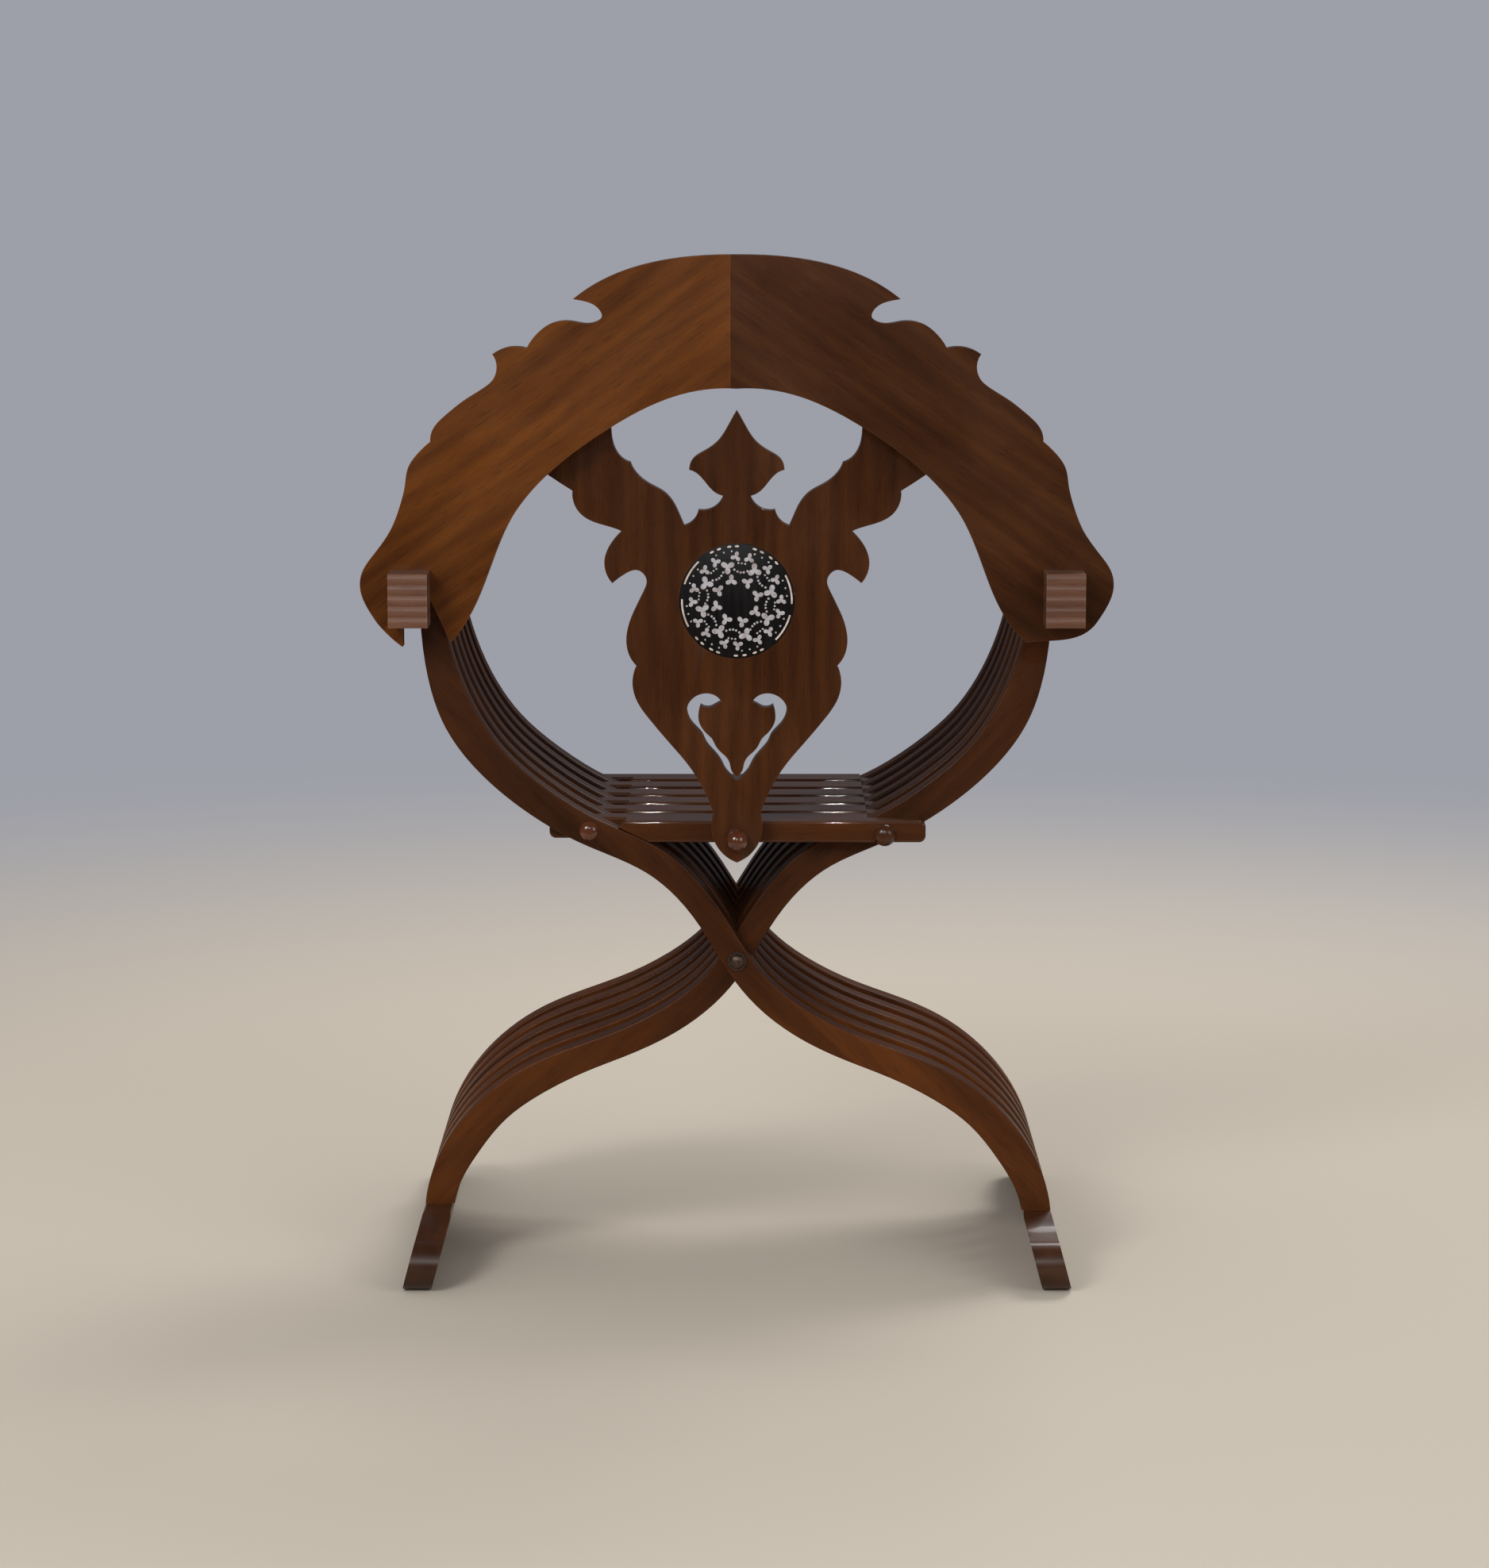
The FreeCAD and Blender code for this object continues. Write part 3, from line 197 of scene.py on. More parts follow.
# The room's light, and what the polish mirrors beyond the chair and on the camera's dim side
SKY = (0.96, 0.97, 1.0)
SKY_STRENGTH = 0.50
MIRRORED_SHARE = 0.28
DIM_ROOM = (0.055, 0.050, 0.046)
BACKDROP_STOPS = ((0.25, 0.0), (0.75, 1.0))

# The floor in metres, and its fading and dimming by distance as a share of the fading's reach
FLOOR_RADIUS = 60.0
FADING_REACH = 10.0
FADING_STOPS = ((0.10, 0.0), (0.34, 1.0))
DIMMING_STOPS = ((0.06, 0.0), (0.22, 1.0))

# Frame of the photograph, in pixels, and the camera's downward tilt
PHOTO_HEIGHT = 1976
PHOTO_FOCAL = 5366
CAMERA_TILT = math.radians(8.511)


class ChairSizes(bpy.types.PropertyGroup):
    """Sizes that the finishing pieces take"""
    board_round: bpy.props.FloatProperty(
        name="Board rounding", description="Rounded edges of the back board and the splat",
        default=0.0016, unit="LENGTH")
    block_round: bpy.props.FloatProperty(
        name="Block rounding", description="Rounded sides of the scroll blocks",
        default=0.0014, unit="LENGTH")
    disc_round: bpy.props.FloatProperty(
        name="Disc rounding", description="Softened rim of the inlaid disc",
        default=0.0006, unit="LENGTH")
    inlay_proud: bpy.props.FloatProperty(
        name="Inlay height", description="How far the bone stands off the disc",
        default=0.00025, unit="LENGTH")
    inlay_depth: bpy.props.FloatProperty(
        name="Inlay thickness", description="Thickness of one piece of bone",
        default=0.0009, unit="LENGTH")


class ChairColours(bpy.types.PropertyGroup):
    """Colours of the woods, the inlay and the iron"""
    slat_dark: bpy.props.FloatVectorProperty(
        name="Slat dark", description="Dark streaks of the curved slats",
        subtype="COLOR", default=(0.046, 0.0124, 0.0020))
    slat_light: bpy.props.FloatVectorProperty(
        name="Slat light", description="Light figure of the curved slats",
        subtype="COLOR", default=(0.142, 0.0375, 0.0036))
    frame_dark: bpy.props.FloatVectorProperty(
        name="Frame dark", description="Dark streaks of seat, arms and runners",
        subtype="COLOR", default=(0.034, 0.0098, 0.0026))
    frame_light: bpy.props.FloatVectorProperty(
        name="Frame light", description="Light figure of seat, arms and runners",
        subtype="COLOR", default=(0.096, 0.0285, 0.0055))
    light_board_dark: bpy.props.FloatVectorProperty(
        name="Left board dark", description="Dark streaks of the lighter board half",
        subtype="COLOR", default=(0.062, 0.0168, 0.0028))
    light_board_light: bpy.props.FloatVectorProperty(
        name="Left board light", description="Light figure of the lighter board half",
        subtype="COLOR", default=(0.160, 0.0465, 0.0045))
    dark_board_dark: bpy.props.FloatVectorProperty(
        name="Right board dark", description="Dark streaks of the darker board half",
        subtype="COLOR", default=(0.035, 0.0106, 0.003))
    dark_board_light: bpy.props.FloatVectorProperty(
        name="Right board light", description="Light figure of the darker board half",
        subtype="COLOR", default=(0.086, 0.0265, 0.0056))
    splat_dark: bpy.props.FloatVectorProperty(
        name="Splat dark", description="Dark streaks of the pierced splat",
        subtype="COLOR", default=(0.035, 0.0098, 0.0021))
    splat_light: bpy.props.FloatVectorProperty(
        name="Splat light", description="Light figure of the pierced splat",
        subtype="COLOR", default=(0.090, 0.0262, 0.0046))
    worn_dark: bpy.props.FloatVectorProperty(
        name="Worn dark", description="Dark streaks of the worn scroll blocks",
        subtype="COLOR", default=(0.086, 0.035, 0.019))
    worn_light: bpy.props.FloatVectorProperty(
        name="Worn light", description="Light figure of the worn scroll blocks",
        subtype="COLOR", default=(0.212, 0.094, 0.054))
    turned_dark: bpy.props.FloatVectorProperty(
        name="Turned dark", description="Dark streaks of the knob and the domes",
        subtype="COLOR", default=(0.046, 0.0125, 0.005))
    turned_light: bpy.props.FloatVectorProperty(
        name="Turned light", description="Light figure of the knob and the domes",
        subtype="COLOR", default=(0.132, 0.036, 0.013))
    ground: bpy.props.FloatVectorProperty(
        name="Disc ground", description="Blackened wood of the disc",
        subtype="COLOR", default=(0.0035, 0.003, 0.003))
    bone: bpy.props.FloatVectorProperty(
        name="Bone", description="Inlaid bone leaves, greyed with age",
        subtype="COLOR", default=(0.48, 0.455, 0.475))
    bone_stain: bpy.props.FloatVectorProperty(
        name="Bone stain", description="What the stained patches keep of the bone's colour",
        subtype="COLOR", default=(0.72, 0.66, 0.60))
    rim_bone: bpy.props.FloatVectorProperty(
        name="Rim bone", description="Bone strips and dots at the disc's rim",
        subtype="COLOR", default=(0.68, 0.59, 0.51))
    iron: bpy.props.FloatVectorProperty(
        name="Iron", description="Pivot and screws",
        subtype="COLOR", default=(0.055, 0.046, 0.042))
    rust: bpy.props.FloatVectorProperty(
        name="Rust", description="Brown of the iron's rust",
        subtype="COLOR", default=(0.16, 0.07, 0.03))


class StageSettings(bpy.types.PropertyGroup):
    """Camera, floor and lamps"""
    distance: bpy.props.FloatProperty(
        name="Camera distance", description="Camera behind the rear of the slats",
        default=3.9, unit="LENGTH")
    eye: bpy.props.FloatProperty(
        name="Camera height", description="Camera above the floor", default=1.0486, unit="LENGTH")
    aside: bpy.props.FloatProperty(
        name="Camera aside", description="Camera right of the chair's middle",
        default=0.007, unit="LENGTH")
    backdrop: bpy.props.FloatVectorProperty(
        name="Backdrop", description="Pale colour behind the chair", subtype="COLOR",
        default=(0.34, 0.35, 0.395))
    floor: bpy.props.FloatVectorProperty(
        name="Floor", description="Pale floor", subtype="COLOR", default=(0.60, 0.53, 0.44))


def new_material(name):
    """An empty node material with its surface shader; returns the material, its tree and the shader."""
    material = bpy.data.materials.new(name)
    material.use_nodes = True
    tree = material.node_tree
    shader = tree.nodes["Principled BSDF"]
    return material, tree, shader


def fill(tree, socket, value):
    """Gives a socket a value, or links it when the value is another node's socket."""
    if isinstance(value, bpy.types.NodeSocket):
        tree.links.new(value, socket)
    else:
        socket.default_value = value


def add(tree, kind, **values):
    """A node with its socket values."""
    node = tree.nodes.new(kind)
    for name, value in values.items():
        fill(tree, node.inputs[name.replace("_", " ")], value)
    return node


def math_node(tree, operation, first, second):
    """One sum, product or other step with two values or sockets."""
    node = tree.nodes.new("ShaderNodeMath")
    node.operation = operation
    for socket, value in zip(node.inputs, (first, second)):
        fill(tree, socket, value)
    return node.outputs[0]


def weighted_sum(tree, *parts):
    """The sum of some values, each given with its weight."""
    products = [math_node(tree, "MULTIPLY", value, weight) for value, weight in parts]
    total = products[0]
    for product in products[1:]:
        total = math_node(tree, "ADD", total, product)
    return total


def length_of(tree, vector):
    """The length of a vector."""
    node = tree.nodes.new("ShaderNodeVectorMath")
    node.operation = "LENGTH"
    tree.links.new(vector, node.inputs[0])
    return node.outputs["Value"]


def part_of(tree, vector, axis):
    """One coordinate of a vector."""
    return add(tree, "ShaderNodeSeparateXYZ", Vector=vector).outputs[axis]


def object_place(tree):
    """Where a point lies on the object."""
    return add(tree, "ShaderNodeTexCoord").outputs["Object"]


def ramp(tree, factor, stops, interpolation="LINEAR"):
    """A colour ramp with stops of (position, colour)."""
    node = tree.nodes.new("ShaderNodeValToRGB")
    node.color_ramp.interpolation = interpolation
    elements = node.color_ramp.elements
    while len(elements) < len(stops):
        elements.new(0.5)
    for element, (position, colour) in zip(elements, stops):
        element.position = position
        element.color = (*colour, 1)
    tree.links.new(factor, node.inputs[0])
    return node.outputs[0]


def grey_ramp(tree, factor, stops, interpolation="LINEAR"):
    """A ramp with stops of (position, brightness)."""
    greys = [(position, (value, value, value)) for position, value in stops]
    return ramp(tree, factor, greys, interpolation)


def mixed(tree, factor, first, second):
    """Two shaders mixed by a factor."""
    node = tree.nodes.new("ShaderNodeMixShader")
    for socket, value in zip(node.inputs, (factor, first, second)):
        tree.links.new(value, socket)
    return node.outputs[0]


def blended(tree, factor, first, second, way="MIX"):
    """Two colours mixed, or put together in another way."""
    node = tree.nodes.new("ShaderNodeMix")
    node.data_type = "RGBA"
    node.blend_type = way
    for number, value in ((0, factor), (6, first), (7, second)):
        fill(tree, node.inputs[number], value)
    return node.outputs[2]


def multiplied(tree, first, second):
    """Two colours multiplied."""
    return blended(tree, 1.0, first, second, "MULTIPLY")


def between(first, second, share):
    """A colour part of the way from one to another."""
    return tuple(a + (b - a) * share for a, b in zip(first, second))


def grain_coordinates(tree, turn, shift):
    """Object coordinates turned so that the grain runs along X, and shifted to other wood."""
    mapping = add(tree, "ShaderNodeMapping", Vector=object_place(tree), Rotation=turn, Location=shift)
    return mapping.outputs[0]


def stretched(tree, coordinates, along):
    """Grain coordinates drawn out along the grain."""
    mapping = add(tree, "ShaderNodeMapping", Vector=coordinates, Scale=(along, 1.0, 1.0))
    return mapping.outputs[0]


def noise(tree, coordinates, scale, detail, roughness=0.5, distortion=0.0):
    """A noise pattern's value."""
    node = add(tree, "ShaderNodeTexNoise", Vector=coordinates, Scale=scale, Detail=detail,
               Roughness=roughness, Distortion=distortion)
    return node.outputs[0]


def grown(tree, grain, layer):
    """One layer of the wood's figure."""
    coordinates = stretched(tree, grain, layer.along)
    return noise(tree, coordinates, layer.scale, layer.detail, layer.roughness, layer.distortion)


def growth_rings(tree, grain):
    """Wavy growth rings, drawn out along the grain."""
    rings = tree.nodes.new("ShaderNodeTexWave")
    rings.wave_type = "RINGS"
    rings.rings_direction = "X"
    for name, value in RINGS.items():
        rings.inputs[name].default_value = value
    tree.links.new(stretched(tree, grain, RINGS_ALONG), rings.inputs["Vector"])
    return rings.outputs["Fac"]


def painted_shade_above(tree, colour, cloud):
    """Painted shade: a colour that darkens with height over a wavering border."""
    waver = math_node(tree, "MULTIPLY", math_node(tree, "SUBTRACT", cloud, 0.5), PAINTED_SHADE_WAVER)
    height = math_node(tree, "ADD", part_of(tree, object_place(tree), "Z"), waver)
    # painted shade, darker from one height upwards
    painted_shade_factor = grey_ramp(tree, height, ((PAINTED_SHADE_FROM, 1.0), (PAINTED_SHADE_TO, PAINTED_SHADE_SHARE)))
    return multiplied(tree, colour, painted_shade_factor)


def wear_and_highlight_edges(tree, cloud):
    """How far the edges are painted lighter, partly as rubbed wear and partly as a painted highlight, from
    where a rounding would turn the surface.
    """
    soft = add(tree, "ShaderNodeBevel", Radius=WEAR_AND_HIGHLIGHT_WIDTH)
    soft.samples = 4
    facing = tree.nodes.new("ShaderNodeVectorMath")
    facing.operation = "DOT_PRODUCT"
    tree.links.new(soft.outputs[0], facing.inputs[0])
    tree.links.new(tree.nodes.new("ShaderNodeNewGeometry").outputs["Normal"], facing.inputs[1])
    edge = grey_ramp(tree, facing.outputs["Value"], WEAR_AND_HIGHLIGHT_STOPS)
    return math_node(tree, "MULTIPLY", edge, math_node(tree, "ADD", cloud, LEAST_WEAR_AND_HIGHLIGHT))


def wood(name, dark, light, turn=(0.0, 0.0, 0.0), shift=(0.0, 0.0, 0.0), figure=0.5,
         polish=0.24, coat=0.25, coat_blur=0.09, specular=0.26, with_painted_shade=False):
    """Polished walnut: mottling, streaks, growth rings, fine lines, pores, edges lighter as rubbed wear and
    as a painted highlight, painted shade that darkens it with height where asked, and polish.
    """
    material, tree, shader = new_material(name)
    grain = grain_coordinates(tree, turn, shift)
    cloud = grown(tree, grain, CLOUD)
    fine = grown(tree, grain, FINE_LINES)
    pore = grown(tree, grain, PORES)
    tone = weighted_sum(tree, (cloud, CLOUD_SHARE), (grown(tree, grain, STREAKS), STREAKS_SHARE),
                        (fine, FINE_SHARE), (growth_rings(tree, grain), RINGS_SHARE * figure))
    middle_tone = MIDDLE_TONE + MIDDLE_TONE_PER_FIGURE * figure
    middle = between(dark, light, MIDDLE_COLOUR_SHARE)
    colour = ramp(tree, tone, ((middle_tone - TONE_REACH, dark), (middle_tone, middle),
                               (middle_tone + TONE_REACH, light)))
    colour = multiplied(tree, colour, grey_ramp(tree, pore, PORE_STOPS))
    # painted shade, darker from one height upwards
    if with_painted_shade:
        colour = painted_shade_above(tree, colour, cloud)
    # lighter edges: partly rubbed wear, partly a painted highlight
    wear_and_highlight_colour = (*(min(1.0, WEAR_AND_HIGHLIGHT_GAIN * c + WEAR_AND_HIGHLIGHT_LIFT) for c in light), 1)
    colour = blended(tree, wear_and_highlight_edges(tree, cloud), colour, wear_and_highlight_colour)
    tree.links.new(colour, shader.inputs["Base Color"])
    wear = grey_ramp(tree, cloud, ((0.35, polish), (0.65, polish + DULLER)))
    tree.links.new(wear, shader.inputs["Roughness"])
    relief = weighted_sum(tree, (fine, FINE_RELIEF), (pore, PORE_RELIEF), (cloud, CLOUD_RELIEF))
    bump = add(tree, "ShaderNodeBump", Height=relief, Strength=RELIEF_STRENGTH, Distance=RELIEF_DEPTH)
    tree.links.new(bump.outputs[0], shader.inputs["Normal"])
    shader.inputs["Specular IOR Level"].default_value = specular
    shader.inputs["Coat Weight"].default_value = coat
    shader.inputs["Coat Roughness"].default_value = coat_blur
    return material


def cut_from(start, step, number):
    """The place in the tree that one of some like pieces is cut from."""
    return tuple(a + b * number for a, b in zip(start, step))


def paint(obj, material):
    """Gives a piece one material."""
    obj.data.materials.clear()
    obj.data.materials.append(material)


def shade(mesh):
    """Smooth faces that stay sharp at real corners."""
    if "custom_normal" in mesh.attributes:
        mesh.attributes.remove(mesh.attributes["custom_normal"])
    mesh.shade_smooth()
    mesh.set_sharp_from_angle(angle=SHARP_ANGLE)


def finished(bm, name, body, material, replaced=()):
    """Turns a bmesh into a finished piece that rides on a body."""
    mesh = bpy.data.meshes.new(name)
    bm.to_mesh(mesh)
    bm.free()
    shade(mesh)
    obj = bpy.data.objects.new(name, mesh)
    bpy.context.scene.collection.objects.link(obj)
    paint(obj, material)
    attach(obj, body)
    if replaced:
        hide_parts(*replaced)


def body_of_node(node):
    """The name of the body that a node rides on."""
    return frame["nodes"][node]["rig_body"]


def turned(bm, verts, angle, axis):
    """Turns some vertices round an axis through the origin."""
    bmesh.ops.rotate(bm, verts=verts, cent=(0, 0, 0), matrix=Matrix.Rotation(angle, 3, axis))


def rim_of(cap, facing):
    """The edges round a flat cap, as (first, second, inward direction) in the order of its faces."""
    members = set(cap)
    return [(loop.vert, loop.link_loop_next.vert,
             facing.cross(loop.link_loop_next.vert.co - loop.vert.co).normalized())
            for face in cap for loop in face.loops
            if sum(other in members for other in loop.edge.link_faces) == 1]


def small_bores(rim, across, up):
    """The rim's vertices that lie round small bores, which keep their sharp edges."""
    after = {first: second for first, second, _ in rim}
    found = set()
    while after:
        run = [next(iter(after))]
        while run[-1] in after:
            run.append(after.pop(run[-1]))
        spans = [max(v.co[i] for v in run) - min(v.co[i] for v in run) for i in (across, up)]
        if max(spans) < SMALL_BORE and abs(spans[0] - spans[1]) < OUT_OF_ROUND:
            found.update(run)
    return found


def rim_steps(rim, kept, seam, across):
    """How each rim vertex moves for one unit of inset: along its mitre, held short at sharp tips."""
    sides = {}
    for first, second, side in rim:
        flat = seam is not None and all(abs(v.co[across] - seam) < SMALL_GAP for v in (first, second))
        for vert in (first, second):
            sides.setdefault(vert, []).append(Vector() if flat or vert in kept else side)
    steps = {}
    for vert, pair in sides.items():
        total = sum(pair, Vector())
        steps[vert] = Vector()
        if total.length > SMALL_GAP:
            mitre = total.normalized()
            longest = max(pair, key=lambda side: side.length)
            steps[vert] = mitre / max(mitre.dot(longest), MITRE_LIMIT)
        if seam is not None and abs(vert.co[across] - seam) < SMALL_GAP:
            steps[vert][across] = 0
    return steps


def flat_cap(bm, axis, level):
    """The faces of a plate that lie flat at one level."""
    return [f for f in bm.faces if all(abs(v.co[axis] - level) < SMALL_GAP for v in f.verts)]


def inset_cap(bm, cap, moves, kept):
    """Insets a flat cap by its rim's own moves; returns the vertices that it then has."""
    bmesh.ops.inset_region(bm, faces=cap, thickness=0, depth=0, use_boundary=True)
    fresh = {v for f in cap for v in f.verts}
    for vert, move in moves.items():
        for twin in [e.other_vert(vert) for e in vert.link_edges]:
            if twin in fresh and (twin.co - vert.co).length < SMALL_GAP:
                twin.co += move
                if vert in kept:
                    kept.add(twin)
    return fresh


def round_side(bm, axis, sign, level, radius, seam):
    """Rounds the edge of one flat side of a plate, with a flat inset inside the rounding."""
    across, up = [i for i in range(3) if i != axis]
    facing = Vector([sign if i == axis else 0 for i in range(3)])
    members = set(flat_cap(bm, axis, level))
    inner = [e for e in bm.edges if len(e.link_faces) == 2 and members.issuperset(e.link_faces)]
    bmesh.ops.dissolve_limit(bm, angle_limit=FLAT_ANGLE, verts=[], edges=inner)
    cap = flat_cap(bm, axis, level)
    for vert in {v for f in cap for v in f.verts}:
        vert.co -= facing * radius
    kept = small_bores(rim_of(cap, facing), across, up)
    angles = [QUARTER * number / ROUNDING_STEPS for number in range(ROUNDING_STEPS + 1)]
    rings = [(math.cos(a) - math.cos(b), math.sin(b) - math.sin(a)) for a, b in zip(angles, angles[1:])]
    for inset, rise in (*rings, (FLAT_INSET, 0.0)):
        steps = rim_steps(rim_of(cap, facing), kept, seam, across)
        moves = {vert: step * inset * radius for vert, step in steps.items()}
        for vert in inset_cap(bm, cap, moves, kept):
            vert.co += facing * rise * radius


def rounded_copy(node, axis, radius, seam=None):
    """A copy of a plate with the edges of both flat sides rounded; a seam across it stays tight."""
    bm = bmesh.new()
    bm.from_mesh(frame["nodes"][node].data)
    bmesh.ops.remove_doubles(bm, verts=bm.verts[:], dist=SMALL_GAP)
    low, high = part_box(node)
    for sign, level in ((-1, low[axis]), (1, high[axis])):
        round_side(bm, axis, sign, level, radius, seam)
    bmesh.ops.remove_doubles(bm, verts=bm.verts[:], dist=SMALL_GAP)
    bmesh.ops.recalc_face_normals(bm, faces=bm.faces[:])
    return bm


class CHAIR_OT_slats(bpy.types.Operator):
    """Polished walnut on the twelve crossing slats"""
    bl_idname = "chair.slats"
    bl_label = "Curved slats"

    def execute(self, context):
        colours = context.scene.chair_colours
        for index in range(PAIRS):
            for word, lean, start in (("left", 1, LEFT_SLAT_WOOD), ("right", -1, RIGHT_SLAT_WOOD)):
                darker = DARKEST_SLAT * ((index * 3 + lean) % 4) / 3
                light = between(colours.slat_light, colours.slat_dark, darker)
                # the slats carry painted shade that darkens them from one height upwards
                material = wood(f"slat_walnut_{word}_{index + 1}", colours.slat_dark, light,
                                turn=(0, -lean * EIGHTH, 0), shift=cut_from(start, SLAT_WOOD_STEP, index),
                                polish=0.38, coat=0.05, specular=0.12, with_painted_shade=True)
                paint(frame["nodes"][f"slat_{word}_{index + 1}"], material)
        return {"FINISHED"}


class CHAIR_OT_seat(bpy.types.Operator):
    """Polished walnut on the six hinged seat slats"""
    bl_idname = "chair.seat"
    bl_label = "Seat slats"

    def execute(self, context):
        colours = context.scene.chair_colours
        light = between(colours.frame_light, colours.frame_dark, 0.22)
        for index in range(PAIRS):
            material = wood(f"seat_walnut_{index + 1}", colours.frame_dark, light,
                            shift=cut_from(SEAT_WOOD, SEAT_WOOD_STEP, index), polish=0.30,
                            coat=0.55, coat_blur=0.03, specular=0.08)
            paint(frame["nodes"][f"seat_slat_{index + 1}"], material)
        return {"FINISHED"}


class CHAIR_OT_arms_and_runners(bpy.types.Operator):
    """Polished walnut on the arms, their dowels and the floor runners"""
    bl_idname = "chair.arms_and_runners"
    bl_label = "Arms and runners"

    def execute(self, context):
        colours = context.scene.chair_colours
        runner_dark = between(colours.frame_dark, (0, 0, 0), 0.25)
        runner_light = between(colours.frame_light, colours.frame_dark, 0.30)
        for number, word in enumerate(("left", "right")):
            arm = wood(f"arm_walnut_{word}", colours.frame_dark, colours.frame_light,
                       turn=(0, 0, QUARTER), shift=cut_from(ARM_WOOD, ARM_WOOD_STEP, number))
            paint(frame["nodes"][f"arm_{word}"], arm)
            paint(frame["nodes"][f"neck_dowel_{word}"], arm)
            runner = wood(f"runner_walnut_{word}", runner_dark, runner_light, turn=(0, 0, QUARTER),
                          shift=cut_from(RUNNER_WOOD, RUNNER_WOOD_STEP, number), polish=0.34)
            paint(frame["nodes"][f"foot_runner_{word}"], runner)
        return {"FINISHED"}


class CHAIR_OT_blocks(bpy.types.Operator):
    """Rounded, worn and reeded blocks at the rear of the arms"""
    bl_idname = "chair.blocks"
    bl_label = "Scroll blocks"

    def execute(self, context):
        sizes = context.scene.chair_sizes
        colours = context.scene.chair_colours
        for number, word in enumerate(("left", "right")):
            material = wood(f"worn_walnut_{word}", colours.worn_dark, colours.worn_light,
                            shift=cut_from(BLOCK_WOOD, BLOCK_WOOD_STEP, number), polish=0.38, coat=0.12)
            node = f"scroll_block_{word}"
            bm = rounded_copy(node, 0, sizes.block_round)
            finished(bm, f"reeded_block_{word}", body_of_node(node), material, (node,))
        return {"FINISHED"}


class CHAIR_OT_board(bpy.types.Operator):
    """The two halves of the arched back board, with rounded edges and a fine glue seam"""
    bl_idname = "chair.board"
    bl_label = "Back board"

    def execute(self, context):
        sizes = context.scene.chair_sizes
        colours = context.scene.chair_colours
        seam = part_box("back_board_left")[1].x
        halves = (("left", colours.light_board_dark, colours.light_board_light, "light_board_wood", 1),
                  ("right", colours.dark_board_dark, colours.dark_board_light, "dark_board_wood", -1))
        for word, dark, light, slot, side in halves:
            lean = side * BOARD_LEAN
            material = wood(f"board_walnut_{word}", dark, light, turn=(0, lean, 0),
                            shift=(0.7, lean, 6.0), figure=1.0, coat=0.20, specular=0.17)
            node = f"back_board_{word}"
            bm = rounded_copy(node, 1, sizes.board_round, seam=seam)
            finished(bm, f"rounded_board_{word}", body_of_node(node), material, (node,))
        paint(frame["nodes"]["seam_dowels"], bpy.data.materials["board_walnut_right"])
        return {"FINISHED"}


class CHAIR_OT_splat(bpy.types.Operator):
    """The pierced splat with rounded edges"""
    bl_idname = "chair.splat"
    bl_label = "Pierced splat"

    def execute(self, context):
        sizes = context.scene.chair_sizes
        colours = context.scene.chair_colours
        material = wood("splat_walnut", colours.splat_dark, colours.splat_light, turn=(0, QUARTER, 0),
                        shift=(0.2, 0.9, 7.0), figure=1.0, coat=0.20, specular=0.20)
        bm = rounded_copy("back_splat", 1, sizes.board_round)
        finished(bm, "rounded_splat", body_of_node("back_splat"), material, ("back_splat",))
        return {"FINISHED"}


def trefoil(bm, radius, segments=30):
    """A flat leaf of three round lobes in the XY plane round the origin, with a lobe upwards."""
    made = bmesh.ops.create_circle(bm, cap_ends=True, radius=radius, segments=segments)
    for vert in made["verts"]:
        angle = math.atan2(vert.co.y, vert.co.x)
        lobe = abs(math.cos(LEAF_LOBES / 2 * (angle - QUARTER))) ** LEAF_NARROWING
        vert.co *= LEAF_WAIST + (1 - LEAF_WAIST) * lobe
    return made["verts"]


def dot(bm, radius, segments=7):
    """A flat round dot."""
    return bmesh.ops.create_circle(bm, cap_ends=True, radius=radius, segments=segments)["verts"]


def strip(bm, radius, width, start, end):
    """A flat arc of a ring round the origin, from one angle to another."""
    inner = bm.verts.new((radius - width / 2, 0, 0))
    outer = bm.verts.new((radius + width / 2, 0, 0))
    edge = bm.edges.new((inner, outer))
    before = set(bm.verts) - {inner, outer}
    steps = max(2, round(math.degrees(end - start) / STRIP_FACE))
    bmesh.ops.spin(bm, geom=[inner, outer, edge], cent=(0, 0, 0), axis=(0, 0, 1),
                   angle=end - start, steps=steps)
    turned(bm, [v for v in bm.verts if v not in before], start, "Z")


def set_at(bm, verts, radius, angle, turn=0.0):
    """Turns a motif about itself and sets it at a place round the disc's centre."""
    turned(bm, verts, angle - QUARTER + turn, "Z")
    bmesh.ops.translate(bm, verts=verts, vec=(radius * math.cos(angle), radius * math.sin(angle), 0))


